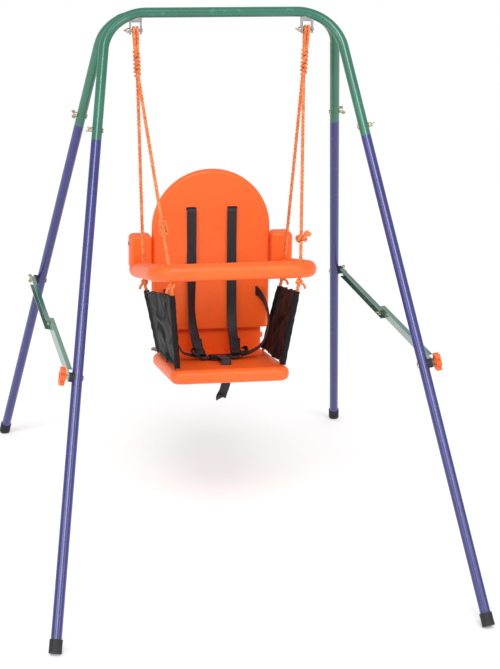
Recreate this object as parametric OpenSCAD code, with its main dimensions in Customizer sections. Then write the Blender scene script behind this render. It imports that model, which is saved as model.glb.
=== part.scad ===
// Toddler swing set: a tube A-frame with two folding-pattern side braces and a
// moulded bucket seat hung on four rope strands. Millimetres, +Z up, seat faces -Y.
// The origin is on the floor, midway between the four feet.

/* [Frame] */
// Height of the top bar's axis above the floor
bar_h = 1180; // [1000:10:1500]
// Distance between the points where the bar's axis meets the legs' axes
top_w = 508; // [460:2:640]
// Distance between the left and right feet
foot_w = 892; // [760:2:1100]
// Distance between the front and rear feet
foot_d = 1434; // [1200:2:1600]
// Outside diameter of every frame tube
tube_d = 22.2; // [19:0.1:30]
// Wall of every frame tube
tube_wall = 1.2; // [1:0.1:2]
// Radius of the bends at the ends of the top bar, on the tube's axis
bend_r = 100; // [60:5:130]
// Length of a front stub, from the corner point along the leg
stub_front = 300; // [220:5:360]
// Length of a rear stub, from the corner point along the leg
stub_rear = 318; // [220:5:360]
// Distance from the floor to the leg joint, along the leg
leg_joint = 546; // [400:2:700]
// Length of the swaged end that slides into the next tube
spigot_l = 46; // [38:1:80]
// Radial clearance of a swaged end in its tube
spigot_fit = 0.1; // [0.05:0.05:0.3]
// Distance from a tube's end to the bolt that locks the joint
lock_gap = 25; // [18:1:30]

/* [Feet] */
// Length of a foot cap along the leg
cap_l = 27; // [20:1:40]
// Wall of a foot cap around the tube
cap_wall = 2.2; // [1.6:0.1:4]
// Thickness of a foot cap's closed end
cap_end = 5; // [3:0.5:8]
// Depth that the floor has worn flat on a foot cap's edge
cap_land = 2; // [1:0.5:3]

/* [Side braces] */
// Height of a brace's channel
brace_w = 20; // [16:1:26]
// Depth of a brace's channel
brace_depth = 10; // [6:0.5:12]
// Sheet thickness of the braces
brace_t = 1.5; // [1:0.1:2]
// Overlap of the two halves on each side of the middle bolt
brace_lap = 16; // [12:1:30]
// Gap between a leg's surface and the brace, filled by a spacer
spacer_l = 6.4; // [5:0.2:12]
// Diameter of a brace spacer
spacer_d = 20; // [16:1:21]
// Diameter of the lobed hand knobs
knob_d = 40; // [30:1:50]
// Thickness of the hand knobs
knob_t = 13; // [9:1:18]

/* [Fasteners] */
// Diameter of every bolt
bolt_d = 6; // [5:0.5:7]
// Radial clearance of a bolt in a drilled hole
bolt_fit = 0.1; // [0.05:0.05:0.3]
// Diameter of a domed bolt head
head_d = 12; // [10:0.5:14]

/* [Hangers and ropes] */
// Distance between the middles of the two rope hangers
hang_w = 382; // [340:2:400]
// Drop of the hanger bolts below the top bar's axis
hang_drop = 38.7; // [32:0.1:50]
// Distance between the two straps of a hanger
strap_gap = 21; // [18:1:26]
// Width of a hanger's straps along Y
strap_w = 18; // [14:1:24]
// Thickness of a hanger's straps
strap_t = 2.6; // [2:0.1:3.5]
// Diameter of the rope
rope_d = 8; // [6:0.5:9]
// Diameter of the whipped part of a rope
whip_d = 15; // [12:0.5:18]
// Distance from the hanger bolt to the top of the whipping
whip_top = 43; // [36:1:80]
// Distance from the hanger bolt to the bottom of the whipping
whip_end = 101; // [90:1:140]

/* [Seat] */
// Width of the seat pan
pan_w = 268; // [250:2:290]
// Length of the seat pan, front to rear
pan_l = 322; // [300:2:340]
// Thickness of the seat pan
pan_t = 32; // [26:1:36]
// Depth of the hollow under the seat pan
pan_hollow = 20; // [10:1:22]
// Slope of the seat pan, front end up
pan_tilt = 8; // [4:0.5:10]
// Height of the pan's middle at its rear end
pan_z = 354; // [340:1:362]
// Place of the pan's rear end, behind the hanger bolts
pan_y = 142; // [132:1:150]
// Width of the backrest
back_w = 276; // [250:2:278]
// Thickness of the backrest
back_t = 22; // [18:1:26]
// Height of the backrest's lower edge
back_low = 432; // [420:1:440]
// Height of the top of the backrest
back_top = 809; // [780:1:860]
// Depth of the hollow in the backrest's rear
back_hollow = 15; // [8:1:16]
// Place of the backrest's middle, behind the hanger bolts
back_y = 118; // [112:1:126]

/* [Guard bar] */
// Thickness of the guard bar
guard_d = 38; // [34:1:42]
// Width of the guard bar over its arms
guard_w = 376; // [370:2:390]
// Place of the guard bar's front, ahead of the hanger bolts
guard_front = 208; // [190:2:224]
// Height of the middle of the guard bar's front
guard_z = 645.6; // [630:0.2:660]
// Slope of the guard bar, front end up
guard_tilt = 12; // [9:0.5:13]
// Radius of the guard bar's front corners, on its axis
guard_r = 46; // [36:1:60]
// Height of the bolts that the guard bar lifts about
pivot_z = 639; // [632:1:644]

/* [Harness] */
// Width of the harness webbing
web_w = 22; // [18:1:25]
// Thickness of the harness webbing
web_t = 1.6; // [1:0.1:2.4]
// Distance between the two shoulder slots
shoulder_w = 96; // [80:2:110]
// Height of the shoulder slots
shoulder_z = 716; // [690:1:740]

/* [Hidden] */
$fn = 48;

GREEN = "#2f7f62";
BLUE = "#343a86";
BLACK = "#26262b";
ZINC = "#b9b7a8";
ORANGE = "#ff6a2c";
WEB = "#2b2830";

// Each side of the frame lies in a plane that leans in by side_tilt.
side_run = (foot_w - top_w) / 2;
side_tilt = atan(side_run / bar_h);
side_l = norm([side_run, bar_h]);
leg_lean = atan(foot_d / 2 / side_l);
leg_l = norm([side_l, foot_d / 2]);
leg_slope = acos(bar_h / leg_l);
// A corner bend turns the bar into the leg inside a plane turned about X.
bend_roll = atan(foot_d / 2 / bar_h);
leg_out = asin(side_run / leg_l);
bend_turn = 90 - leg_out;
bend_tan = bend_r * tan(bend_turn / 2);
// A rear bend is swaged a little so that it seats inside the front bend's outline.
swage = 0.8;
tube_r = tube_d / 2;
bore_d = tube_d - 2 * tube_wall;
spigot_d = bore_d - 2 * spigot_fit;
spigot_bore = spigot_d - 2 * tube_wall;
swage_l = 8;
hole_d = bolt_d + 2 * bolt_fit;

// Feet
cap_fit = 0.05;
cap_r = tube_r + cap_fit + cap_wall;
cap_start = (cap_r * sin(leg_slope) - cap_land) / cos(leg_slope);
tube_start = cap_start + cap_end;

// Braces run level between the bolts just above the leg joints.
lock_s = leg_joint + lock_gap;
brace_z = lock_s * cos(leg_lean);
brace_end = foot_d / 2 - lock_s * sin(leg_lean);
brace_x = tube_r + spacer_l;
flange_gap = 28;
knob_gap = 3;
knob_x = brace_x + brace_t + knob_gap;
knob_bore_fit = 0.05;
nut_h = 6;
head_h = 3.2;

// Hangers
hang_z = bar_h - hang_drop;
hang_x = hang_w / 2;
strap_low = 9;
saddle_t = 11;

// Seat
pan_r = 14;
pan_rc = 26;
pan_back_rc = 22;
back_r = 9;
upstand_w = 242;
upstand_t = 24;
upstand_y = pan_y - upstand_t / 2;
tongue_w = 200;
tongue_t = 12;
tongue_low = 392;
tongue_fit = 0.1;
heel_h = 18;
back_rim = 14;
peg_z = 407;
peg_d = 9;
rod_z = 380;
slot_h = 7;
// Raised frame round each harness slot, and the keeper plates behind them
slot_frame = 3.5;
slot_frame_t = 0.9;
keeper_t = 3;
keeper_rim = 5;
keeper_fit = 0.5;
keeper_rest = 0.2;
waist_x = 108;
waist_z = 519;
waist_out = [124, 55, 478];
waist_low = [104, 8, 424];

// Guard bar: arms along the sides, ears beside the backrest.
guard_x = (guard_w - guard_d) / 2;
ear_in = back_w / 2 + 1;
ear_out = guard_w / 2 + 2;
ear_top = 660;
ear_t = 44;
ear_rc = 11;
ear_r = 8;
arm_rise = (guard_front + back_y) * tan(guard_tilt);
arm_end_z = guard_z - arm_rise;
ear_low = arm_end_z;

// Rope route: whipping, hole in the guard bar, hole in the seat pan. Right-hand side.
whip_gap = 0.4;
whip_low_z = hang_z - whip_end;
whip_x = hang_x - 5;
front_top = [whip_x, -3, whip_low_z + 6];
front_bar = [144, -208, 650];
front_low = [141, -208, 618];
front_pan = [117, -154, 402];
rear_top = [whip_x, 5.6, whip_low_z + 6];
rear_bar = [164, 67, 590];
rear_low = [161, 70, 558];
rear_pan = [119, 88, 366];
rope_hole = rope_d + 1.4;
// The guard bar's rope holes are long enough for this lift about its ear bolts.
guard_lift = 4;
knot_r = 2.4;
knot_fit = 0.6;
// Shares of the run from the guard bar to the pan: where a strand's tail ends and its last knot sits
strand_tail = 1.1;
pan_knot = 1.073;
// Each knot sits in a recess in the pan's underside.
recess_d = 21;
recess_top = 1.045;

// Buckle, on the pan's upper face
buckle_y = -22;
buckle_w = 50;
buckle_l = 34;
buckle_t = 11;
buckle_rc = 6;
button_w = 6;
button_l = 16;
button_t = 6;
button_fit = 0.4;
button_y = 7 - buckle_l / 2;
buckle_lift = 0.3;
tongue_y = 2;
adjuster_y = buckle_y + tongue_y + (web_w + 4) / 2 + 6.3;
adjuster_lift = 8;

function on_line(a, b, t) = a + (b - a) * t;
function pan_top(y) = pan_z + (pan_y - y) * tan(pan_tilt) + pan_t / 2 / cos(pan_tilt);

module side(s) {
  mirror([s < 0 ? 1 : 0, 0, 0])
    children();
}

// A side's own plane: X outward, Z up the lean.
module in_side(s) {
  side(s)
    translate([foot_w / 2, 0, 0])
      rotate([0, -side_tilt, 0])
        children();
}

// Along a leg: Z from the floor to the corner point, X outward. f is -1 in front.
module on_leg(s, f) {
  in_side(s)
    translate([0, f * foot_d / 2, 0])
      rotate([f * leg_lean, 0, 0])
        children();
}

module tube(z0, z1, d, bore) {
  translate([0, 0, z0])
    difference() {
      cylinder(h = z1 - z0, d = d);
      translate([0, 0, -1]) cylinder(h = z1 - z0 + 2, d = bore);
    }
}

// A straight rod between two points
module rod(a, b, d) {
  v = b - a;
  translate(a)
    rotate([0, acos(v[2] / norm(v)), atan2(v[1], v[0])])
      cylinder(h = norm(v), d = d);
}

module bolt_hole(s, f, z) {
  on_leg(s, f)
    translate([-tube_d, 0, z])
      rotate([0, 90, 0])
        cylinder(h = 2 * tube_d, d = hole_d);
}

// Quarter profile of a slab's edge: flat inside, rounded outside
module edge_profile(rc, t, r) {
  square([rc - r, t]);
  translate([0, r]) square([rc, t - 2 * r]);
  intersection() {
    translate([rc - r, 0]) square([r, t]);
    union() {
      translate([rc - r, r]) circle(r);
      translate([rc - r, t - r]) circle(r);
      translate([rc - r, r]) square([r, t - 2 * r]);
    }
  }
}

// A slab with rounded corners rc and edges rounded by r, centred on X and Y, from Z 0
module slab(w, l, t, rc, r) {
  for (a = [0:3])
    rotate([0, 0, a * 90]) {
      u = (a % 2 == 0 ? w : l) / 2 - rc;
      v = (a % 2 == 0 ? l : w) / 2 - rc;
      translate([u, v, 0]) rotate_extrude(angle = 90) edge_profile(rc, t, r);
      translate([u, v, 0]) rotate([90, 0, 0]) linear_extrude(2 * v) edge_profile(rc, t, r);
    }
  translate([-(w / 2 - rc), -(l / 2 - rc), 0]) cube([w - 2 * rc, l - 2 * rc, t]);
}

// ---------- frame ----------

// The right-hand bend's own plane: its arc starts on +X and ends on the bar.
module in_bend(f) {
  translate([top_w / 2, 0, bar_h])
    rotate([f * bend_roll, 0, 0])
      translate([-bend_tan, 0, -bend_r])
        rotate([90, 0, 0])
          rotate([0, 0, leg_out])
            children();
}

module bar_bend(f, d, bore) {
  in_bend(f)
    rotate_extrude(angle = bend_turn)
      translate([bend_r, 0])
        difference() {
          circle(d = d);
          if (bore > 0) circle(d = bore);
        }
}

module bend_stub(f, stub_len) {
  in_bend(f)
    translate([bend_r, 0, 0])
      rotate([90, 0, 0])
        tube(0, stub_len - bend_tan, tube_d, bore_d);
}

module top_bar() {
  color(GREEN)
    translate([-(top_w / 2 - bend_tan), 0, bar_h])
      rotate([0, 90, 0])
        tube(0, top_w - 2 * bend_tan, tube_d, bore_d);
}

module front_bend(s) {
  color(GREEN)
    difference() {
      side(s)
        union() {
          bar_bend(-1, tube_d, bore_d);
          bend_stub(-1, stub_front);
        }
      bolt_hole(s, -1, leg_l - stub_front + lock_gap);
    }
}

module rear_bend(s) {
  color(GREEN)
    difference() {
      side(s)
        union() {
          bar_bend(1, tube_d - swage, bore_d - swage);
          bend_stub(1, stub_rear);
        }
      side(s) bar_bend(-1, tube_d, 0);
      translate([-top_w / 2, 0, bar_h]) rotate([0, 90, 0]) cylinder(h = top_w, d = tube_d);
      bolt_hole(s, 1, leg_l - stub_rear + lock_gap);
    }
}

module upper_leg(s, f) {
  stub_len = f < 0 ? stub_front : stub_rear;
  top = leg_l - stub_len;
  color(BLUE)
    difference() {
      on_leg(s, f)
        difference() {
          union() {
            translate([0, 0, leg_joint]) cylinder(h = top - leg_joint, d = tube_d);
            translate([0, 0, leg_joint]) cylinder(h = top - leg_joint + spigot_l, d = spigot_d);
          }
          translate([0, 0, leg_joint - 1]) cylinder(h = top - leg_joint - swage_l, d = bore_d);
          translate([0, 0, leg_joint]) cylinder(h = top - leg_joint + spigot_l + 1, d = spigot_bore);
        }
      bolt_hole(s, f, top + lock_gap);
      bolt_hole(s, f, lock_s);
    }
}

module lower_leg(s, f) {
  color(BLUE)
    difference() {
      on_leg(s, f)
        difference() {
          union() {
            translate([0, 0, tube_start]) cylinder(h = leg_joint - tube_start, d = tube_d);
            translate([0, 0, tube_start]) cylinder(h = leg_joint - tube_start + spigot_l, d = spigot_d);
          }
          translate([0, 0, tube_start - 1]) cylinder(h = leg_joint - tube_start - swage_l, d = bore_d);
          translate([0, 0, tube_start]) cylinder(h = leg_joint + spigot_l, d = spigot_bore);
        }
      bolt_hole(s, f, lock_s);
    }
}

module foot_cap(s, f) {
  groove_w = 1.6;
  groove_h = 0.6;
  grooves = 4;
  color(BLACK)
    difference() {
      on_leg(s, f)
        translate([0, 0, cap_start])
          difference() {
            cylinder(h = cap_l, r = cap_r);
            translate([0, 0, cap_end]) cylinder(h = cap_l, r = tube_r + cap_fit);
            for (i = [1:grooves])
              translate([0, 0, cap_end + i * (cap_l - cap_end) / (grooves + 1) - groove_w / 2])
                difference() {
                  cylinder(h = groove_w, r = cap_r + 1);
                  translate([0, 0, -1]) cylinder(h = groove_w + 2, r = cap_r - groove_h);
                }
          }
      translate([-foot_w, -foot_d, -60]) cube([2 * foot_w, 2 * foot_d, 60]);
    }
}

// ---------- braces ----------

// The halves lie back to back: on each side of the frame, outer says which one is further out.
function outer(s, f) = s * f < 0;

// One half of a brace in the side's plane, from the leg bolt toward the middle.
module brace_half(s, f) {
  out = outer(s, f);
  y_in = -brace_lap;
  color(GREEN)
    in_side(s)
      translate([brace_x + (out ? brace_t : 0), 0, brace_z])
        mirror([0, f < 0 ? 1 : 0, 0])
          difference() {
            union() {
              translate([0, y_in, -brace_w / 2]) cube([brace_t, brace_end - y_in, brace_w]);
              translate([0, brace_end, 0]) rotate([0, 90, 0]) cylinder(h = brace_t, d = brace_w);
              for (z = [-brace_w / 2, brace_w / 2 - brace_t])
                translate([out ? 0 : brace_t - brace_depth, y_in, z])
                  cube([brace_depth, brace_end - flange_gap - y_in, brace_t]);
            }
            for (y = [0, brace_end])
              translate([-1, y, 0]) rotate([0, 90, 0]) cylinder(h = brace_t + 2, d = hole_d);
          }
}

// The outer half sits one sheet further out, so its spacer is that much longer.
module brace_spacers() {
  color(BLACK)
    for (s = [-1, 1], f = [-1, 1])
      difference() {
        on_leg(s, f)
          translate([0, 0, lock_s])
            rotate([0, 90, 0])
              difference() {
                cylinder(h = brace_x + (outer(s, f) ? brace_t : 0), d = spacer_d);
                translate([0, 0, -1]) cylinder(h = brace_x + brace_t + 2, d = hole_d);
              }
        on_leg(s, f) translate([0, 0, lock_s - tube_d]) cylinder(h = 2 * tube_d, d = tube_d);
      }
}

module on_knob(s) {
  on_leg(s, -1)
    translate([knob_x + brace_t, 0, lock_s])
      rotate([0, 90, 0])
        children();
}

module knob(s) {
  lobes = 6;
  lobe_r = knob_d * 0.17;
  hub_d = 17;
  hub_h = 2.4;
  color(ORANGE)
    on_knob(s)
      difference() {
        union() {
          cylinder(h = hub_h + 1, d = hub_d);
          translate([0, 0, hub_h]) cylinder(h = knob_t - hub_h, d = knob_d - 2 * lobe_r + 1);
          translate([0, 0, hub_h])
            for (i = [0:lobes - 1])
              rotate([0, 0, i * 360 / lobes])
                translate([knob_d / 2 - lobe_r, 0, 0])
                  cylinder(h = knob_t - hub_h, r = lobe_r);
        }
        translate([0, 0, -1]) cylinder(h = knob_t - 3, d = bolt_d + 2 * knob_bore_fit);
        translate([0, 0, knob_t - 1.5]) cylinder(h = 4, d = hub_d);
      }
}

// A bolt along +X from x0 to x1 with a domed head at its start
module bolt_x(x0, x1) {
  translate([x0, 0, 0])
    rotate([0, 90, 0]) {
      cylinder(h = x1 - x0, d = bolt_d);
      translate([0, 0, -head_h])
        intersection() {
          cylinder(h = head_h, d = head_d);
          translate([0, 0, head_d * 0.75]) sphere(r = head_d * 0.75 + 0.01);
        }
    }
}

// A wing nut that seats at x0 and faces +X
module wing_nut_x(x0) {
  wing_r = 4.6;
  wing_t = 2;
  translate([x0, 0, 0])
    rotate([0, 90, 0])
      difference() {
        union() {
          cylinder(h = nut_h, d = 11);
          for (m = [-1, 1]) {
            translate([0, m * 9.5, nut_h + 1.5]) rotate([0, 90, 0])
              translate([0, 0, -wing_t / 2]) cylinder(h = wing_t, r = wing_r);
            translate([-wing_t / 2, m > 0 ? 2 : -9, 1.5]) cube([wing_t, 7, nut_h - 1.5]);
          }
        }
        translate([0, 0, -1]) cylinder(h = nut_h + 8, d = bolt_d);
      }
}

// Where the wing nut of a brace's rear end seats
function rear_nut_x(s) = brace_x + brace_t * (outer(s, 1) ? 2 : 1);

module knob_bolts() {
  color(ZINC)
    for (s = [-1, 1])
      on_leg(s, -1)
        translate([0, 0, lock_s])
          bolt_x(-tube_r, knob_x + brace_t + knob_t - 5);
}

module brace_bolts() {
  color(ZINC)
    for (s = [-1, 1]) {
      on_leg(s, 1) translate([0, 0, lock_s]) bolt_x(-tube_r, rear_nut_x(s) + nut_h + 3);
      in_side(s)
        translate([0, 0, brace_z])
          mirror([1, 0, 0])
            bolt_x(-(brace_x + 2 * brace_t), -brace_x + nut_h + 3);
    }
}

module stub_bolts() {
  color(ZINC)
    for (s = [-1, 1], f = [-1, 1])
      on_leg(s, f)
        translate([0, 0, leg_l - (f < 0 ? stub_front : stub_rear) + lock_gap])
          bolt_x(-tube_r, tube_r + nut_h + 3);
}

module wing_nuts() {
  color(ZINC)
    for (s = [-1, 1]) {
      for (f = [-1, 1])
        on_leg(s, f)
          translate([0, 0, leg_l - (f < 0 ? stub_front : stub_rear) + lock_gap])
            wing_nut_x(tube_r);
      on_leg(s, 1) translate([0, 0, lock_s]) wing_nut_x(rear_nut_x(s));
      in_side(s) translate([0, 0, brace_z]) mirror([1, 0, 0]) wing_nut_x(-brace_x);
      translate([s * hang_x, 0, hang_z]) mirror([1, 0, 0]) wing_nut_x(strap_gap / 2 + strap_t);
    }
}

// ---------- hangers ----------

module hanger(s) {
  reach = hang_drop + strap_low;
  color(ZINC)
    translate([s * hang_x, 0, 0])
      difference() {
        union() {
          translate([-strap_gap / 2 - strap_t, -strap_w / 2, bar_h - tube_r - saddle_t + 2])
            cube([strap_gap + 2 * strap_t, strap_w, saddle_t]);
          for (m = [-1, 1])
            translate([m > 0 ? strap_gap / 2 : -strap_gap / 2 - strap_t, 0, 0]) {
              translate([0, -strap_w / 2, hang_z]) cube([strap_t, strap_w, hang_drop - tube_r + 1]);
              translate([0, 0, hang_z]) rotate([0, 90, 0]) cylinder(h = strap_t, d = strap_w);
            }
        }
        translate([-60, 0, bar_h]) rotate([0, 90, 0]) cylinder(h = 120, d = tube_d);
        translate([-s * hang_x, 0, 0])
          side(s) {
            bar_bend(-1, tube_d, 0);
            bar_bend(1, tube_d - swage, 0);
          }
        translate([-60, 0, hang_z]) rotate([0, 90, 0]) cylinder(h = 120, d = hole_d);
      }
}

module hanger_bolts() {
  half = strap_gap / 2 + strap_t;
  color(ZINC)
    for (s = [-1, 1])
      translate([s * hang_x, 0, hang_z])
        mirror([1, 0, 0])
          bolt_x(-half, half + nut_h + 3);
}

// ---------- ropes ----------

module rope_loop(s) {
  loop_r = bolt_d / 2 + 0.3 + rope_d / 2;
  neck_d = 12;
  color(ORANGE)
    translate([s * hang_x, 0, hang_z]) {
      rotate([0, 90, 0]) rotate_extrude() translate([loop_r, 0]) circle(d = rope_d);
      rod([0, 0, -loop_r], [-s * 2, 1, -whip_top], neck_d);
    }
}

module whipping(s) {
  turns = 6;
  top = [s * (hang_x - 2), 1, hang_z - whip_top - whip_gap];
  low = [s * whip_x, 1.5, whip_low_z];
  color(ORANGE)
    difference() {
      union() {
        rod(top, low, whip_d - 3);
        for (i = [0:turns - 1])
          translate(on_line(top, low, (i + 0.5) / turns))
            cylinder(h = 5, d = whip_d, center = true);
      }
      side(s) {
        rod(front_bar, on_line(front_bar, front_top, 1.01), rope_d);
        rod(rear_bar, on_line(rear_bar, rear_top, 1.01), rope_d);
      }
    }
}

// A tube of rope through points that run downward, ringed level at each point
module rope_sweep(path) {
  sides = 12;
  n = len(path);
  rings = [for (p = path, i = [0:sides - 1]) p + rope_d / 2 * [cos(i * 360 / sides), sin(i * 360 / sides), 0]];
  walls = [for (k = [0:n - 2], i = [0:sides - 1])
    let (j = (i + 1) % sides) [k * sides + i, k * sides + j, (k + 1) * sides + j, (k + 1) * sides + i]];
  top = [for (i = [0:sides - 1]) sides - 1 - i];
  low = [for (i = [0:sides - 1]) (n - 1) * sides + i];
  polyhedron(points = rings, faces = concat([top, low], walls), convexity = 2);
}

module strand(s, top, bar, low, pan) {
  color(ORANGE)
    side(s)
      rope_sweep([top, bar, low, on_line(low, pan, strand_tail)]);
}

module strand_front(s) {
  strand(s, front_top, front_bar, front_low, front_pan);
}

module strand_rear(s) {
  strand(s, rear_top, rear_bar, rear_low, rear_pan);
}

// A knot's ring around a strand that runs from low to high
module knot(low, high, t) {
  v = high - low;
  translate(on_line(low, high, t))
    rotate([0, acos(v[2] / norm(v)), atan2(v[1], v[0])])
      rotate_extrude()
        translate([rope_d / 2 + knot_fit + knot_r, 0])
          circle(r = knot_r);
}

// Knots above the guard bar, below it and below the seat pan
module rope_knots() {
  color(ORANGE)
    for (s = [-1, 1])
      side(s) {
        knot(front_bar, front_top, 0.18);
        knot(front_low, front_bar, 0);
        knot(rear_low, rear_bar, 0);
        knot(front_pan, front_low, 1 - pan_knot);
        knot(rear_pan, rear_low, 1 - pan_knot);
      }
}

// ---------- seat ----------

module in_pan() {
  translate([0, pan_y, pan_z])
    rotate([-pan_tilt, 0, 0])
      translate([0, -pan_l / 2, -pan_t / 2])
        children();
}

module pan_bore(low, pan) {
  rod(on_line(low, pan, 1.5), on_line(low, pan, 0.7), rope_hole);
  rod(on_line(low, pan, 1.5), on_line(low, pan, recess_top), recess_d);
}

module seat_base() {
  groove_w = 2;
  groove_h = 0.8;
  color(ORANGE)
    difference() {
      union() {
        in_pan() slab(pan_w, pan_l, pan_t, pan_rc, pan_r);
        translate([-upstand_w / 2, upstand_y - upstand_t / 2, pan_z])
          cube([upstand_w, upstand_t, back_low - pan_z]);
      }
      for (s = [-1, 1])
        side(s) {
          pan_bore(front_low, front_pan);
          pan_bore(rear_low, rear_pan);
        }
      // crotch strap slot
      in_pan()
        translate([-web_w / 2 - 1, -pan_l * 0.3, -1])
          cube([web_w + 2, slot_h, pan_t + 2]);
      // hollow underneath
      in_pan()
        translate([-pan_w / 2 + 30, -pan_l / 2 + 42, -1])
          cube([pan_w - 60, pan_l - 84, pan_hollow + 1]);
      // grooves that part the front lip into panels
      in_pan()
        for (i = [-1.5, 0, 1.5])
          translate([i * pan_w / 6 - groove_w / 2, -pan_l / 2 - 1, pan_t - groove_h])
            cube([groove_w, pan_l * 0.2, 4]);
      // pocket for the backrest's tongue
      translate([-tongue_w / 2 - tongue_fit, upstand_y - tongue_t / 2 - tongue_fit, tongue_low])
        cube([tongue_w + 2 * tongue_fit, tongue_t + 2 * tongue_fit, 60]);
      translate([-pan_w, upstand_y, peg_z]) rotate([0, 90, 0]) cylinder(h = 2 * pan_w, d = peg_d);
      translate([-pan_w, upstand_y, rod_z]) rotate([0, 90, 0]) cylinder(h = 2 * pan_w, d = hole_d);
    }
}

// A low frame on the backrest's front, centred on X and Z
module slot_rim(w, h) {
  translate([-w / 2, -slot_frame_t, -h / 2]) cube([w, slot_frame_t + 1, h]);
}

module backrest() {
  dome_r = back_w / 2;
  low_rc = 16;
  dome_z = back_top - dome_r;
  color(ORANGE)
    difference() {
      union() {
        translate([0, back_y + back_t / 2, 0])
          rotate([90, 0, 0]) {
            translate([0, dome_z, 0]) rotate_extrude(angle = 180) edge_profile(dome_r, back_t, back_r);
            for (m = [0, 1])
              mirror([m, 0, 0])
                translate([0, dome_z, 0])
                  rotate([90, 0, 0])
                    linear_extrude(dome_z - back_low)
                      edge_profile(dome_r, back_t, back_r);
          }
        translate([-tongue_w / 2, upstand_y - tongue_t / 2, tongue_low])
          cube([tongue_w, tongue_t, back_low - tongue_low + heel_h]);
        for (m = [-1, 1]) {
          translate([m * shoulder_w / 2, back_y - back_t / 2, shoulder_z + slot_h / 2])
            slot_rim(web_w + 2 + 2 * slot_frame, slot_h + 2 * slot_frame);
          translate([m * waist_x, back_y - back_t / 2, waist_z])
            slot_rim(slot_h + 2 * slot_frame, web_w + 2 + 2 * slot_frame);
        }
      }
      // hollow in the rear, inside a rim
      translate([0, back_y + back_t / 2 + 1, 0])
        rotate([90, 0, 0]) {
          translate([0, dome_z, 0]) cylinder(h = back_hollow + 1, r = dome_r - back_rim);
          translate([-dome_r + back_rim, back_low + heel_h, 0])
            cube([back_w - 2 * back_rim, dome_z - back_low - heel_h, back_hollow + 1]);
        }
      for (m = [-1, 1]) {
        translate([m * shoulder_w / 2 - web_w / 2 - 1, back_y - back_t, shoulder_z])
          cube([web_w + 2, 2 * back_t, slot_h]);
        translate([m * waist_x - slot_h / 2, back_y - back_t, waist_z - web_w / 2 - 1])
          cube([slot_h, 2 * back_t, web_w + 2]);
      }
      translate([-back_w, upstand_y, peg_z]) rotate([0, 90, 0]) cylinder(h = 2 * back_w, d = peg_d);
      for (m = [-1, 1])
        translate([m * back_w / 2, back_y, pivot_z])
          rotate([0, 90, 0])
            cylinder(h = 2 * back_rim - 2, d = hole_d, center = true);
    }
}

// Plates in the backrest's hollow that hold the straps' sewn ends
module strap_keepers() {
  y = back_y + back_t / 2 - back_hollow + keeper_rest;
  color(BLACK)
    for (m = [-1, 1]) {
      translate([m * (shoulder_w / 2 - 1), y, shoulder_z + slot_h / 2])
        keeper(web_w, web_t);
      translate([m * waist_x, y, waist_z])
        keeper(web_t, web_w);
    }
}

// One plate, centred on X and Z, with an opening for a strap of w by h
module keeper(w, h) {
  difference() {
    translate([-w / 2 - keeper_rim, 0, -h / 2 - keeper_rim])
      cube([w + 2 * keeper_rim, keeper_t, h + 2 * keeper_rim]);
    translate([-w / 2 - keeper_fit, -1, -h / 2 - keeper_fit])
      cube([w + 2 * keeper_fit, keeper_t + 2, h + 2 * keeper_fit]);
  }
}

module seat_pegs() {
  color(ORANGE)
    for (m = [-1, 1])
      translate([0, upstand_y, peg_z])
        rotate([0, m * 90, 0]) {
          translate([0, 0, tongue_w / 2 - 14]) cylinder(h = upstand_w / 2 - tongue_w / 2 + 14, d = peg_d);
          translate([0, 0, upstand_w / 2]) cylinder(h = 6, d = 13);
        }
}

module seat_rod() {
  color(ZINC)
    translate([0, upstand_y, rod_z])
      mirror([1, 0, 0])
        bolt_x(-upstand_w / 2 - 2, upstand_w / 2 + nut_h + 10);
}

module seat_rod_nut() {
  color(ZINC)
    translate([0, upstand_y, rod_z])
      mirror([1, 0, 0])
        wing_nut_x(upstand_w / 2 + 1);
}

module in_guard() {
  translate([0, -guard_front, guard_z])
    rotate([-guard_tilt, 0, 0])
      children();
}

module guard_bar() {
  arm_l = (guard_front + back_y + ear_t / 2 - 4) / cos(guard_tilt) - guard_r;
  color(ORANGE)
    difference() {
      union() {
        in_guard()
          for (m = [0, 1])
            mirror([m, 0, 0]) {
              rotate([0, 90, 0]) cylinder(h = guard_x - guard_r, d = guard_d);
              translate([guard_x - guard_r, guard_r, 0])
                rotate([0, 0, -90])
                  rotate_extrude(angle = 90) translate([guard_r, 0]) circle(d = guard_d);
              translate([guard_x, guard_r, 0]) rotate([-90, 0, 0]) cylinder(h = arm_l, d = guard_d);
            }
        for (s = [-1, 1])
          side(s)
            translate([(ear_in + ear_out) / 2, back_y + ear_t / 2, (ear_low + ear_top) / 2])
              rotate([90, 0, 0])
                slab(ear_out - ear_in, ear_top - ear_low, ear_t, ear_rc, ear_r);
      }
      for (s = [-1, 1])
        side(s) {
          guard_slot(front_top, front_bar, front_low);
          guard_slot(rear_top, rear_bar, rear_low);
        }
      translate([-guard_w, back_y, pivot_z]) rotate([0, 90, 0]) cylinder(h = 2 * guard_w, d = hole_d);
    }
}

// Where a strand's middle lies at height z, and the same seen from the lifted bar
function strand_y(top, bar, low, z) =
  let (a = z > bar[2] ? bar : low, b = z > bar[2] ? top : bar) a[1] + (b[1] - a[1]) * (z - a[2]) / (b[2] - a[2]);
function lifted_y(top, bar, low, z) =
  strand_y(top, bar, low, z + (back_y - bar[1]) * sin(guard_lift)) + (pivot_z - z) * sin(guard_lift);

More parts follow.
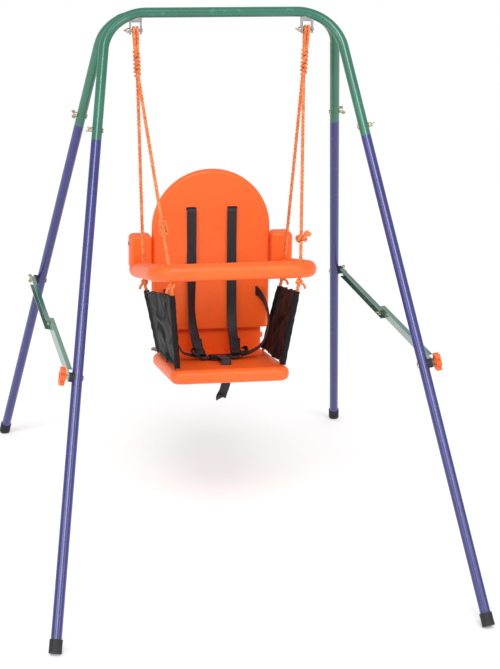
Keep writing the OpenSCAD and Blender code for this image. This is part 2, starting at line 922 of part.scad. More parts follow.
// A rope slot through the guard bar, long enough for the strand at rest and with the bar lifted
module guard_slot(top, bar, low) {
  heights = [low[2] - 6, bar[2], bar[2] + guard_d];
  rest = [for (z = heights) strand_y(top, bar, low, z)];
  up = [for (z = heights) lifted_y(top, bar, low, z)];
  h = rope_hole / 2;
  near = [for (i = [0:2]) [min(rest[i], up[i]) - h - bar[1], heights[i] - bar[2]]];
  far = [for (i = [2:-1:0]) [max(rest[i], up[i]) + h - bar[1], heights[i] - bar[2]]];
  rise = (back_y - bar[1]) * sin(guard_lift) * 0.1;
  translate(bar)
    rotate([0, atan((bar[0] - low[0]) / (bar[2] - low[2])), 0])
      translate([-h, 0, 0])
        rotate([90, 0, 90])
          linear_extrude(rope_hole + rise)
            polygon(concat(near, far));
}

module guard_bolts() {
  color(ZINC)
    for (s = [-1, 1])
      side(s)
        translate([0, back_y, pivot_z])
          mirror([1, 0, 0])
            bolt_x(-ear_out - 0.4, -back_w / 2 + back_rim - 2);
}

// ---------- soft goods ----------

module side_guard(s) {
  sleeve_d = rope_d + 5;
  f0 = on_line(front_low, front_pan, 0.12);
  f1 = on_line(front_low, front_pan, 0.92);
  r0 = on_line(rear_low, rear_pan, 0.12);
  r1 = on_line(rear_low, rear_pan, 0.9);
  color(BLACK)
    side(s)
      difference() {
        union() {
          rod(f1, f0, sleeve_d);
          rod(r1, r0, sleeve_d);
          hull()
            for (p = [f0, f1, r0, r1])
              translate(p) cube(3, center = true);
        }
        rod(front_pan, front_low, rope_d + 0.6);
        rod(rear_pan, rear_low, rope_d + 0.6);
      }
}

// A webbing band that keeps its width along X, through points [y, z]
module band(x, w, path) {
  n = len(path);
  dirs = [for (i = [0:n - 2]) (path[i + 1] - path[i]) / norm(path[i + 1] - path[i])];
  function along(i) = i == 0 ? dirs[0] : i == n - 1 ? dirs[n - 2] : dirs[i - 1] + dirs[i];
  function across(i) = let (d = along(i) / norm(along(i)), k = min(i, n - 2))
    [-d[1], d[0]] * web_t / 2 / (d * dirs[k]);
  translate([x - w / 2, 0, 0])
    rotate([90, 0, 90])
      linear_extrude(w)
        polygon(concat(
          [for (i = [0:n - 1]) path[i] + across(i)],
          [for (i = [n - 1:-1:0]) path[i] - across(i)]
        ));
}

module shoulder_strap(s) {
  y = back_y - back_t / 2 - 2;
  color(WEB)
    band(s * (shoulder_w / 2 - 1), web_w, [
      [back_y + back_t / 2 + 2, shoulder_z + slot_h / 2],
      [y, shoulder_z + slot_h / 2],
      [y - 3, 600],
      [y - 6, 480],
      [66, 432],
      [adjuster_y + 7.6, pan_top(adjuster_y + 7.6) + buckle_lift + adjuster_lift]
    ]);
}

// A flat strap between two points, its face turned by roll
module strap(a, b, roll) {
  v = b - a;
  translate(a)
    rotate([0, acos(v[2] / norm(v)), atan2(v[1], v[0])])
      rotate([0, 0, roll])
        translate([-web_t / 2, -web_w / 2, 0])
          cube([web_t, web_w, norm(v)]);
}

module waist_strap(s) {
  front = back_y - back_t / 2 - 6;
  color(WEB)
    side(s) {
      strap([waist_x, back_y + back_t / 2 + 2, waist_z], [waist_x, front, waist_z], 90);
      strap([waist_x, front, waist_z], waist_out, 90);
      strap(waist_out, waist_low, 90);
      strap(waist_low, [buckle_w / 2 + 23, buckle_y + 4, pan_top(buckle_y) + 9], 0);
    }
}

module crotch_strap() {
  slot_y = pan_y - pan_l * 0.8 * cos(pan_tilt);
  color(WEB)
    band(0, web_w, [
      [buckle_y - buckle_l / 2 - 1, pan_top(buckle_y - buckle_l / 2) + 5],
      [slot_y + 15, pan_top(slot_y + 15) + 2.4],
      [slot_y + 7.5, pan_top(slot_y) + 2],
      [slot_y + 5.4, pan_top(slot_y) - 3],
      [slot_y + 2.2, pan_top(slot_y) - pan_t],
      [slot_y + 11, pan_top(slot_y) - pan_t - 50]
    ]);
}

module on_pan(y) {
  translate([0, y, pan_top(y) + buckle_lift])
    rotate([-pan_tilt, 0, 0])
      children();
}

// Slides on the shoulder straps, just behind the buckle
module strap_adjusters() {
  color(BLACK)
    for (m = [-1, 1])
      on_pan(adjuster_y)
        translate([m * 42, 0, adjuster_lift])
          difference() {
            cube([web_w + 8, 12, 4], center = true);
            cube([web_w + 2, 3, 6], center = true);
          }
}

module buckle() {
  color(BLACK)
    on_pan(buckle_y)
      difference() {
        union() {
          slab(buckle_w, buckle_l, buckle_t, buckle_rc, 2);
          for (m = [-1, 1])
            translate([m * (buckle_w / 2 + 9), tongue_y, 2]) slab(24, web_w + 4, 6, 5, 1.5);
        }
        for (m = [-1, 1])
          translate([m * (buckle_w / 2 - 6), button_y, buckle_t])
            cube([button_w + 5, button_l, 2 * button_t], center = true);
      }
}

module buckle_button(s) {
  color(BLACK)
    on_pan(buckle_y)
      translate([s * (buckle_w / 2 - 4.5), button_y, buckle_t - button_t / 2 + button_fit + 1.5])
        cube([button_w, button_l - 2 * button_fit - 0.4, button_t], center = true);
}

top_bar();
front_bend(-1);  // front_bend_left
front_bend(1);  // front_bend_right
rear_bend(-1);  // rear_bend_left
rear_bend(1);  // rear_bend_right
upper_leg(-1, -1);  // upper_leg_fl
upper_leg(1, -1);  // upper_leg_fr
upper_leg(-1, 1);  // upper_leg_rl
upper_leg(1, 1);  // upper_leg_rr
lower_leg(-1, -1);  // lower_leg_fl
lower_leg(1, -1);  // lower_leg_fr
lower_leg(-1, 1);  // lower_leg_rl
lower_leg(1, 1);  // lower_leg_rr
foot_cap(-1, -1);  // foot_cap_fl
foot_cap(1, -1);  // foot_cap_fr
foot_cap(-1, 1);  // foot_cap_rl
foot_cap(1, 1);  // foot_cap_rr
brace_half(-1, -1);  // brace_front_left
brace_half(-1, 1);  // brace_rear_left
brace_half(1, -1);  // brace_front_right
brace_half(1, 1);  // brace_rear_right
brace_spacers();
knob(-1);  // knob_left
knob(1);  // knob_right
knob_bolts();
brace_bolts();
stub_bolts();
wing_nuts();
hanger(-1);  // hanger_left
hanger(1);  // hanger_right
hanger_bolts();
rope_loop(-1);  // rope_loop_left
rope_loop(1);  // rope_loop_right
whipping(-1);  // whipping_left
whipping(1);  // whipping_right
strand_front(-1);  // strand_front_left
strand_front(1);  // strand_front_right
strand_rear(-1);  // strand_rear_left
strand_rear(1);  // strand_rear_right
rope_knots();
seat_base();
backrest();
seat_pegs();
seat_rod();
seat_rod_nut();
guard_bar();
guard_bolts();
side_guard(-1);  // side_guard_left
side_guard(1);  // side_guard_right
shoulder_strap(-1);  // shoulder_strap_left
shoulder_strap(1);  // shoulder_strap_right
waist_strap(-1);  // waist_strap_left
waist_strap(1);  // waist_strap_right
crotch_strap();
strap_adjusters();
strap_keepers();
buckle();
buckle_button(-1);  // buckle_button_left
buckle_button(1);  // buckle_button_right
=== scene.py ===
"""Finishes and soft parts of a toddler swing set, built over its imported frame. Metres, +Z up, seat faces -Y."""

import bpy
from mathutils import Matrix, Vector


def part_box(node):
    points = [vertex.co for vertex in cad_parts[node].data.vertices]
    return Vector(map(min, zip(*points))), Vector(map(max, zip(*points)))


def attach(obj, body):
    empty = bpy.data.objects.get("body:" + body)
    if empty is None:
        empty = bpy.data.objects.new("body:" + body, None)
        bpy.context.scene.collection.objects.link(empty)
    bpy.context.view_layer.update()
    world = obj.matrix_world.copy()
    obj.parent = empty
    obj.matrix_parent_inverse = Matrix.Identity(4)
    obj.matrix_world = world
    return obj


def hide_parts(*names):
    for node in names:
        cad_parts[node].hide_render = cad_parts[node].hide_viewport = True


bl_info = {
    "name": "Toddler swing set",
    "version": (1, 0, 0),
    "blender": (4, 5, 0),
    "location": "3D View > Sidebar > Swing set",
    "description": "Ropes, webbing, side guards and finishes for a tube-framed toddler swing",
    "category": "Object",
}

import math

import bmesh
import bpy
from mathutils import Matrix, Vector, noise

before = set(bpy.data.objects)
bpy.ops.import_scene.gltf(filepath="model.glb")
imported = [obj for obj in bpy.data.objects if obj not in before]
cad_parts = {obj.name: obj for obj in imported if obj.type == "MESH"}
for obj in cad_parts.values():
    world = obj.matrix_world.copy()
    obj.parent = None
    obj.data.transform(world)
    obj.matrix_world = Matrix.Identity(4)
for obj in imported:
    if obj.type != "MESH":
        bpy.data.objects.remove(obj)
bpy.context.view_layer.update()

# The ropes' routes on the right-hand side, as the frame was designed
HANG_Z = sum(corner[2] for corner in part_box("hanger_bolts")) / 2
HANG_X = 0.191
FRONT_ROUTE = [(0.186, -0.003, 1.0463), (0.144, -0.208, 0.650), (0.141, -0.208, 0.618), (0.117, -0.154, 0.402)]
REAR_ROUTE = [(0.186, 0.0056, 1.0463), (0.164, 0.067, 0.590), (0.161, 0.070, 0.558), (0.119, 0.088, 0.366)]
# How far the whipping's ends lie under the hanger bolt
WHIP_TOP = 0.0434
WHIP_END = 0.101
# Places along a route's last run for a strand's end and its knot under the pan, as shares of that run
STRAND_TAIL = 1.1
PAN_KNOT = 1.073
# Places of the knots above the guard bar, as shares of the way up to the whipping
LEFT_KNOT, RIGHT_KNOT = 0.22, 0.145
# Half the width of the studio floor, and the point that the strip lights face
FLOOR = 300
STRIP_TARGET = Vector((0, 0, 0.6))

GREEN_TUBES = ["top_bar", "front_bend_left", "front_bend_right", "rear_bend_left", "rear_bend_right"]
FRONT_BRACES = ["brace_front_left", "brace_front_right"]
REAR_BRACES = ["brace_rear_left", "brace_rear_right"]
BLUE_TUBES = [f"{half}_leg_{corner}" for half in ("upper", "lower") for corner in ("fl", "fr", "rl", "rr")]
FOOT_CAPS = [f"foot_cap_{corner}" for corner in ("fl", "fr", "rl", "rr")]
ORANGE_MOULDINGS = ["seat_base", "backrest", "guard_bar", "seat_pegs", "knob_left", "knob_right"]
BLACK_MOULDINGS = ["buckle", "strap_adjusters", "strap_keepers", "buckle_button_left", "buckle_button_right"]
YELLOW_ZINC = ["knob_bolts", "brace_bolts", "stub_bolts", "wing_nuts"]
WHITE_ZINC = ["hanger_left", "hanger_right", "hanger_bolts", "seat_rod", "seat_rod_nut", "guard_bolts"]


def linear(code):
    """An sRGB hex colour as linear red, green, blue and alpha."""
    parts = [int(code[i : i + 2], 16) / 255 for i in (1, 3, 5)]
    return (*[c / 12.92 if c <= 0.04045 else ((c + 0.055) / 1.055) ** 2.4 for c in parts], 1.0)


def shade(colour, factor):
    """A colour made darker or lighter."""
    return (*[min(1.0, c * factor) for c in colour[:3]], 1.0)


def colour_property(name, description, code):
    """A colour that a user can change, from its sRGB code."""
    return bpy.props.FloatVectorProperty(
        name=name, description=description, subtype="COLOR", size=4, min=0, max=1, default=linear(code)
    )


def length_property(name, description, value):
    """A length in metres that a user can change."""
    return bpy.props.FloatProperty(name=name, description=description, default=value, unit="LENGTH", min=0)


class SwingFinish(bpy.types.PropertyGroup):
    green: colour_property("Green coat", "Powder coat on the top frame and the rear brace halves", "#286C57")
    # The front brace halves take the same green coat painted lighter, as a painted highlight for the light that their
    # flat faces catch.
    painted_highlight_green: colour_property("Green coat with painted highlight", "Green coat painted lighter on the front brace halves as painted highlight", "#3F7D66")
    blue: colour_property("Blue coat", "Powder coat on the legs", "#2F3175")
    orange: colour_property("Orange plastic", "Blow-moulded seat, guard bar and hand knobs", "#FF6416")
    black: colour_property("Black plastic", "Foot caps, spacers and buckle", "#1D1D20")
    yellow_zinc: colour_property("Yellow zinc", "Bolts and wing nuts of the frame", "#CEC6AC")
    white_zinc: colour_property("White zinc", "Hangers and the seat's bolts", "#A6A8A7")


class SwingRope(bpy.types.PropertyGroup):
    diameter: length_property("Rope diameter", "Laid polyethylene rope", 0.008)
    lay: length_property("Lay length", "Distance in which one strand goes round once", 0.026)
    knot: length_property("Knot size", "Radius of a knot's inner turn", 0.0021)
    wrap: length_property("Whipping rope", "Diameter of the turns that bind each pair of strands", 0.0056)
    turns: bpy.props.IntProperty(name="Whipping turns", description="Turns that bind each pair", default=6, min=2)
    colour: colour_property("Rope colour", "Orange polyethylene", "#EA7636")


class SwingGuard(bpy.types.PropertyGroup):
    sleeve: length_property("Sleeve radius", "Radius of the sleeve that each rope runs in", 0.0062)
    cloth: length_property("Cloth thickness", "Two plies of coated nylon", 0.0009)
    belly: length_property("Belly", "How far the cloth bows between its ropes", 0.006)
    crease: length_property("Crease depth", "Depth of the creases", 0.0075)
    hem: length_property("Hem width", "Width of the turned hems", 0.008)
    stitch: length_property("Stitch pitch", "Distance between stitches", 0.0042)
    thread: length_property("Thread diameter", "Thickness of the sewing thread", 0.0008)
    colour: colour_property("Cloth colour", "Black coated nylon", "#09090D")


class SwingWebbing(bpy.types.PropertyGroup):
    width: length_property("Webbing width", "Width of every strap", 0.022)
    thickness: length_property("Webbing thickness", "Thickness of every strap", 0.0016)
    colour: colour_property("Webbing colour", "Black polypropylene", "#141117")


class SwingStage(bpy.types.PropertyGroup):
    floor: colour_property("Floor", "Pale studio floor", "#F3F3F3")
    glow: bpy.props.FloatProperty(name="Floor glow", description="Light from under the sheet", default=0.2, min=0)
    key: bpy.props.FloatProperty(name="Key light", description="Strength of the broad high light", default=1.3, min=0)
    side: bpy.props.FloatProperty(
        name="Strip lights", description="Power of the strip lights", default=46, unit="POWER"
    )
    room: bpy.props.FloatProperty(name="Room light", description="Strength of the even light", default=0.60, min=0)


def add(tree, kind, links=None, **settings):
    """Adds a node with its settings. A link is a socket to join or a value to set."""
    node = tree.nodes.new(kind)
    for key, value in settings.items():
        setattr(node, key, value)
    for key, source in (links or {}).items():
        if isinstance(source, bpy.types.NodeSocket):
            tree.links.new(source, node.inputs[key])
        else:
            node.inputs[key].default_value = source
    return node


# ---------- materials ----------


def begin(name, **constants):
    """A new material with its shader, whose constants are set on the sockets."""
    material = bpy.data.materials.new(name)
    material.use_nodes = True
    tree = material.node_tree
    shader = tree.nodes["Principled BSDF"]
    for key, value in constants.items():
        shader.inputs[key.replace("_", " ")].default_value = value
    return material, tree, shader


def wire(tree, shader, **sources):
    """Joins sockets to the shader's inputs of those names."""
    for key, source in sources.items():
        tree.links.new(source, shader.inputs[key.replace("_", " ")])


def calc(tree, operation, *values):
    """A number from other numbers or sockets."""
    return add(tree, "ShaderNodeMath", dict(enumerate(values)), operation=operation).outputs[0]


def blend(tree, factor, first, second):
    """Mixes two colours by a factor."""
    node = add(tree, "ShaderNodeMix", data_type="RGBA")
    for index, value in ((0, factor), (6, first), (7, second)):
        if isinstance(value, bpy.types.NodeSocket):
            tree.links.new(value, node.inputs[index])
        else:
            node.inputs[index].default_value = value
    return node.outputs[2]


def spread(tree, value, low, high, new_low, new_high):
    """Maps a range of values onto another and holds it there."""
    limits = {"From Min": low, "From Max": high, "To Min": new_low, "To Max": new_high}
    return add(tree, "ShaderNodeMapRange", {"Value": value, **limits}).outputs["Result"]


def mottle(tree, scale, detail):
    """Soft noise in the object's own space, scale in features to the metre."""
    place = add(tree, "ShaderNodeTexCoord").outputs["Object"]
    return add(tree, "ShaderNodeTexNoise", {"Vector": place, "Scale": scale, "Detail": detail}).outputs["Fac"]


def patches(tree, scale, detail, low, high, new_low=0, new_high=1):
    """Soft noise mapped onto a range: wide limits give clouds, and narrow high ones give marks far apart."""
    return spread(tree, mottle(tree, scale, detail), low, high, new_low, new_high)


def bump(tree, strength, distance, height, **under):
    """Relief of a height, over another relief if that is given as Normal."""
    links = {"Strength": strength, "Distance": distance, "Height": height, **under}
    return add(tree, "ShaderNodeBump", links).outputs["Normal"]


def powder_coat(name, colour):
    """Polyester powder coat baked on steel tube: a glossy skin with orange peel, and faint rubs from assembly."""
    material, tree, shader = begin(name, IOR=1.5, Coat_Weight=0.35, Coat_Roughness=0.12)
    rub = patches(tree, 60, 8, 0.64, 0.74)
    body = blend(tree, patches(tree, 14, 2, 0.3, 0.7), shade(colour, 0.9), shade(colour, 1.1))
    wire(
        tree,
        shader,
        Base_Color=blend(tree, rub, body, shade(colour, 1.45)),
        Roughness=spread(tree, rub, 0, 1, 0.27, 0.5),
        # Orange peel has waves of about 2 mm, drawn at 3 mm.
        Normal=bump(tree, 0.16, 0.0004, mottle(tree, 340, 2)),
    )
    return material


def zinc_plate(name, colour, dull):
    """Zinc-plated mild steel: bright metal with a cloudy passivated film and fine marks from tumbling."""
    material, tree, shader = begin(name, Metallic=1.0)
    cloud = mottle(tree, 180, 5)
    wire(
        tree,
        shader,
        Base_Color=blend(tree, spread(tree, cloud, 0.35, 0.65, 0, 1), shade(colour, 0.78), shade(colour, 1.1)),
        Roughness=spread(tree, cloud, 0.3, 0.7, dull - 0.08, dull + 0.14),
        # Tumbling marks are 0.3 mm, drawn at 1 mm.
        Normal=bump(tree, 0.25, 0.0003, mottle(tree, 1000, 3)),
    )
    return material


def blow_moulded(name, colour):
    """Blow-moulded polyethylene: waxy, a little translucent, slow waves from cooling and a fine blasted grain."""
    material, tree, shader = begin(
        name,
        IOR=1.52,
        Subsurface_Weight=0.12,
        Subsurface_Radius=(1.0, 0.35, 0.12),
        Subsurface_Scale=0.004,
    )
    body = blend(tree, patches(tree, 9, 3, 0.3, 0.7), shade(colour, 0.94), shade(colour, 1.05))
    # Walls cool in waves of about 40 mm. The blasted grain is 0.4 mm, drawn at 1.5 mm.
    waves = bump(tree, 0.22, 0.004, mottle(tree, 24, 1))
    wire(
        tree,
        shader,
        Base_Color=blend(tree, patches(tree, 130, 9, 0.66, 0.78), body, shade(colour, 1.25)),
        Roughness=patches(tree, 90, 4, 0.3, 0.7, 0.36, 0.5),
        Normal=bump(tree, 0.14, 0.0004, mottle(tree, 650, 3), Normal=waves),
    )
    return material


def moulded_black(name, colour, rough, grain_scale):
    """Injection-moulded black plastic or rubber: spark-eroded grain with greyer scuffs where it is handled."""
    material, tree, shader = begin(name, IOR=1.5)
    scuff = patches(tree, 160, 8, 0.56, 0.72)
    wire(
        tree,
        shader,
        Base_Color=blend(tree, scuff, colour, shade(colour, 3.2)),
        Roughness=spread(tree, scuff, 0, 1, rough, rough + 0.2),
        Normal=bump(tree, 0.3, 0.0004, mottle(tree, grain_scale, 3)),
    )
    return material


def laid_polyethylene(name, colour):
    """Split-film polyethylene rope: glossy fibres along each strand, a darker fibre tone of painted shade meant for
    the gaps between strands, and pale patches of painted highlight.
    """
    material, tree, shader = begin(name, Roughness=0.42, IOR=1.51, Subsurface_Weight=0.1, Subsurface_Scale=0.002)
    lay, around = (
        add(tree, "ShaderNodeAttribute", attribute_name=mark).outputs["Fac"] for mark in ("lay", "around")
    )
    # Fibres are 0.1 mm wide, drawn at about 0.8 mm, and run at a slant along the strand.
    slant = calc(tree, "MULTIPLY_ADD", lay, 160.0, around)
    along = add(tree, "ShaderNodeCombineXYZ", {"X": slant, "Y": lay}).outputs["Vector"]
    fibres = add(tree, "ShaderNodeTexNoise", {"Vector": along, "Scale": 9.0, "Detail": 3.0}).outputs["Fac"]
    # The fibres' darker tone is painted shade meant for the gaps between strands; it follows the fibre noise.
    body = blend(tree, spread(tree, fibres, 0.35, 0.65, 0, 1), shade(colour, 0.62), shade(colour, 1.18))
    # Pale patches of painted highlight, mixed towards the pale crown colour.
    painted_highlight = patches(tree, 120, 4, 0.45, 0.7, 0, 0.7)
    crown = linear("#FBA564")
    wire(tree, shader, Base_Color=blend(tree, painted_highlight, body, crown), Normal=bump(tree, 0.5, 0.0006, fibres))
    return material


def threads(tree, across, along):
    """Threads that cross at two pitches, in metres on the cloth: high where both are high, from 0 to 1."""
    place = add(tree, "ShaderNodeUVMap").outputs["UV"]
    waves = []
    for axis, pitch in (("X", across), ("Y", along)):
        part = add(tree, "ShaderNodeSeparateXYZ", {"Vector": place}).outputs[axis]
        waves.append(calc(tree, "SINE", calc(tree, "MULTIPLY", part, 2 * math.pi / pitch)))
    return spread(tree, calc(tree, "MULTIPLY", *waves), -1, 1, 0, 1)


def woven_webbing(name, colour):
    """Woven polypropylene webbing: cross ribs from the weft, fine warp lines, a painted sheen on the rib crowns and
    painted shade between them.
    """
    material, tree, shader = begin(name, IOR=1.49, Sheen_Weight=0.08, Sheen_Roughness=0.4)
    # Picks are 1 mm apart, drawn at 2 mm. Warp ends are 0.7 mm apart, drawn at 1.6 mm.
    tone = threads(tree, 0.0016, 0.002)
    # The rib crowns are painted lighter and the troughs darker: painted sheen and painted shade.
    body = blend(tree, tone, shade(colour, 0.6), shade(colour, 1.7))
    wire(
        tree,
        shader,
        Base_Color=blend(tree, patches(tree, 70, 5, 0.45, 0.7, 0, 0.35), body, shade(colour, 2.6)),
        Roughness=spread(tree, tone, 0, 1, 0.62, 0.4),
        Normal=bump(tree, 0.5, 0.0005, tone),
    )
    return material


def coated_nylon(name, colour):
    """Coated Oxford nylon: a square basket weave under a satin film, with soft paler patches."""
    material, tree, shader = begin(
        name, IOR=1.5, Specular_IOR_Level=0.22, Sheen_Weight=0.02, Sheen_Roughness=0.4
    )
    # Threads are 0.5 mm apart, drawn at 1.8 mm.
    tone = threads(tree, 0.0018, 0.0018)
    body = blend(tree, tone, shade(colour, 0.72), shade(colour, 1.3))
    pucker = bump(tree, 0.35, 0.003, mottle(tree, 75, 3))
    wire(
        tree,
        shader,
        Base_Color=blend(tree, patches(tree, 32, 6, 0.45, 0.7, 0, 0.4), body, shade(colour, 1.6)),
        Roughness=patches(tree, 45, 3, 0.3, 0.7, 0.5, 0.68),
        Normal=bump(tree, 0.4, 0.0004, tone, Normal=pucker),
    )
    return material


def spun_thread(name, colour):
    """Spun polyester sewing thread: matt, with slight changes of tone from stitch to stitch."""
    material, tree, shader = begin(name, Roughness=0.75, IOR=1.5)
    tone = patches(tree, 400, 2, 0.3, 0.7)
    wire(tree, shader, Base_Color=blend(tree, tone, shade(colour, 0.7), shade(colour, 1.4)))
    return material


def studio_floor(name, colour, glow):
    """Matt seamless sheet lit a little from below: even and pale, with a faint tooth."""
    material, tree, shader = begin(
        name, Roughness=0.9, IOR=1.4, Specular_IOR_Level=0.1, Emission_Color=(1, 1, 1, 1), Emission_Strength=glow
    )
    wire(tree, shader, Base_Color=blend(tree, patches(tree, 3, 3, 0.3, 0.7), shade(colour, 0.985), colour))
    return material


def finish_nodes(names, material):
    """Gives nodes of the frame their finish."""
    for name in names:
        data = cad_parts[name].data
        data.materials.clear()
        data.materials.append(material)


# ---------- geometry helpers ----------


def smooth_line(points, step):
    """A line with soft bends through the points, with a point about every step."""
    pts = [Vector(p) for p in points]
    pts = [pts[0] * 2 - pts[1], *pts, pts[-1] * 2 - pts[-2]]
    line = []
    for a, b, c, d in zip(pts, pts[1:], pts[2:], pts[3:]):
        count = max(1, round((c - b).length / step))
        knots = [0.0]
        for p, q in ((a, b), (b, c), (c, d)):
            knots.append(knots[-1] + max((q - p).length, 1e-6) ** 0.5)
        for i in range(count):
            t = knots[1] + (knots[2] - knots[1]) * i / count
            ab = a.lerp(b, (t - knots[0]) / (knots[1] - knots[0]))
            bc = b.lerp(c, (t - knots[1]) / (knots[2] - knots[1]))
            cd = c.lerp(d, (t - knots[2]) / (knots[3] - knots[2]))
            abc = ab.lerp(bc, (t - knots[0]) / (knots[2] - knots[0]))
            bcd = bc.lerp(cd, (t - knots[1]) / (knots[3] - knots[1]))
            line.append(abc.lerp(bcd, (t - knots[1]) / (knots[2] - knots[1])))
    return [*line, pts[-2]]


def on_line(a, b, t):
    """The point that lies a share t of the way from a to b."""
    return Vector(a).lerp(Vector(b), t)


def mirrored(points, side):
    """The points on that side of the swing, -1 for the left."""
    return [Vector((p[0] * side, p[1], p[2])) for p in points]


def placed(name, data):
    """A new object in the scene with that data."""
    thing = bpy.data.objects.new(name, data)
    bpy.context.scene.collection.objects.link(thing)
    return thing


def mesh_piece(name, verts, faces, material, uv=None):
    """A smooth piece from points and faces, with one UV place for each point."""
    data = bpy.data.meshes.new(name)
    data.from_pydata([tuple(v) for v in verts], [], faces)
    data.materials.append(material)
    for polygon in data.polygons:
        polygon.use_smooth = True
    if uv:
        layer = data.uv_layers.new(name="UVMap")
        for loop in data.loops:
            layer.data[loop.index].uv = uv[loop.vertex_index]
    data.update()
    return placed(name, data)


def apply_modifiers(piece):
    """Replaces a piece's mesh with the finished one and takes its modifiers off."""
    seen = piece.evaluated_get(bpy.context.evaluated_depsgraph_get())
    data = bpy.data.meshes.new_from_object(seen)
    old = piece.data
    piece.modifiers.clear()
    piece.data = data
    bpy.data.meshes.remove(old)


def grow(name, tree, lines, values):
    """Runs a node tree over one or more lines and keeps the result as a plain mesh."""
    verts, edges = [], []
    for line in lines:
        start = len(verts)
        verts += [tuple(p) for p in line]
        edges += [(i, i + 1) for i in range(start, len(verts) - 1)]
    data = bpy.data.meshes.new(name)
    data.from_pydata(verts, edges, [])
    piece = placed(name, data)
    modifier = piece.modifiers.new("Grow", "NODES")
    modifier.node_group = tree
    for item in tree.interface.items_tree:
        if item.item_type == "SOCKET" and item.in_out == "INPUT" and item.name in values:
            modifier[item.identifier] = values[item.name]
    apply_modifiers(piece)
    if not piece.data.polygons:
        raise RuntimeError(f"{name} came out empty")
    return piece


def new_tree(name, sockets):
    """A geometry tree with named inputs and its group input node."""
    tree = bpy.data.node_groups.new(name, "GeometryNodeTree")
    tree.interface.new_socket("Geometry", in_out="INPUT", socket_type="NodeSocketGeometry")
    tree.interface.new_socket("Geometry", in_out="OUTPUT", socket_type="NodeSocketGeometry")
    for label, kind, value in sockets:
        socket = tree.interface.new_socket(label, in_out="INPUT", socket_type=f"NodeSocket{kind}")
        if value is not None:
            socket.default_value = value
    return tree, add(tree, "NodeGroupInput").outputs


def close_tree(tree, geometry, material):
    """Smooths, realizes and paints the geometry, and sends it out of the tree."""
    soft = add(tree, "GeometryNodeSetShadeSmooth", {"Geometry": geometry})
    real = add(tree, "GeometryNodeRealizeInstances", {"Geometry": soft.outputs[0]})
    painted = add(tree, "GeometryNodeSetMaterial", {"Geometry": real.outputs[0], "Material": material})
    add(tree, "NodeGroupOutput", {"Geometry": painted.outputs[0]})
    return tree


def points_along(tree, line, pitch):
    """The line as a curve with a point at every pitch."""
    curve = add(tree, "GeometryNodeMeshToCurve", {"Mesh": line}).outputs[0]
    return add(tree, "GeometryNodeResampleCurve", {"Curve": curve, "Length": pitch}, mode="LENGTH").outputs[0]


def point_calc(tree, operation, links):
    """A vector from other vectors."""
    return add(tree, "ShaderNodeVectorMath", links, operation=operation).outputs[0]


def mark(tree, geometry, name, value):
    """Stores a number for the material to read on each point."""
    links = {"Geometry": geometry, "Name": name, "Value": value}
    return add(tree, "GeometryNodeStoreNamedAttribute", links, data_type="FLOAT", domain="POINT").outputs[0]


def laid_rope_tree():
    """Strands twisted about a line: the tree behind every piece of rope."""
    tree, inputs = new_tree(
        "Laid rope",
        [
            ("Rope diameter", "Float", 0.008),
            ("Lay length", "Float", 0.026),
            ("Strands", "Int", 3),
            ("Step", "Float", 0.0016),
            ("Sides", "Int", 8),
            ("Material", "Material", None),
        ],
    )
    even = points_along(tree, inputs["Geometry"], inputs["Step"])
    copies = add(
        tree, "GeometryNodeDuplicateElements", {"Geometry": even, "Amount": inputs["Strands"]}, domain="SPLINE"
    )
    share = calc(tree, "DIVIDE", copies.outputs["Duplicate Index"], inputs["Strands"])
    run = add(tree, "GeometryNodeSplineParameter").outputs["Length"]
    turn = calc(tree, "ADD", calc(tree, "DIVIDE", run, inputs["Lay length"]), share)
    angle = calc(tree, "MULTIPLY", turn, 2 * math.pi)
    out = add(tree, "GeometryNodeInputNormal").outputs["Normal"]
    ahead = add(tree, "GeometryNodeInputTangent").outputs["Tangent"]
    across = point_calc(tree, "CROSS_PRODUCT", {0: ahead, 1: out})
    parts = [
        point_calc(tree, "SCALE", {0: direction, "Scale": calc(tree, kind, angle)})
        for direction, kind in ((out, "COSINE"), (across, "SINE"))
    ]
    # A strand is half the rope across, so it sits a quarter of the rope's diameter from the middle.
    quarter = calc(tree, "MULTIPLY", inputs["Rope diameter"], 0.25)
    ring = point_calc(tree, "ADD", dict(enumerate(parts)))
    offset = point_calc(tree, "SCALE", {0: ring, "Scale": quarter})
    laid = add(tree, "GeometryNodeSetPosition", {"Geometry": copies.outputs["Geometry"], "Offset": offset})
    marked = mark(tree, laid.outputs[0], "lay", run)
    profile = add(tree, "GeometryNodeCurvePrimitiveCircle", {"Resolution": inputs["Sides"], "Radius": quarter})
    around = mark(tree, profile.outputs[0], "around", add(tree, "GeometryNodeSplineParameter").outputs["Factor"])
    swept = add(tree, "GeometryNodeCurveToMesh", {"Curve": marked, "Profile Curve": around, "Fill Caps": True})
    return close_tree(tree, swept.outputs[0], inputs["Material"])


def stitch_tree():
    """A short thread laid along a line at every pitch: the tree behind every seam."""
    tree, inputs = new_tree(
        "Stitched seam",
        [
            ("Stitch pitch", "Float", 0.0042),
            ("Stitch length", "Float", 0.003),
            ("Thread diameter", "Float", 0.0008),
            ("Material", "Material", None),
        ],
    )
    holes = points_along(tree, inputs["Geometry"], inputs["Stitch pitch"])
    radius = calc(tree, "MULTIPLY", inputs["Thread diameter"], 0.5)
    thread = add(tree, "GeometryNodeMeshCylinder", {"Vertices": 6, "Radius": radius, "Depth": inputs["Stitch length"]})
    ahead = add(tree, "GeometryNodeInputTangent").outputs["Tangent"]
    lie = add(tree, "FunctionNodeAlignRotationToVector", {"Vector": ahead}, axis="Z")
    sewn = add(
        tree,
        "GeometryNodeInstanceOnPoints",
        {"Points": holes, "Instance": thread.outputs["Mesh"], "Rotation": lie.outputs[0]},
    )
    return close_tree(tree, sewn.outputs[0], inputs["Material"])


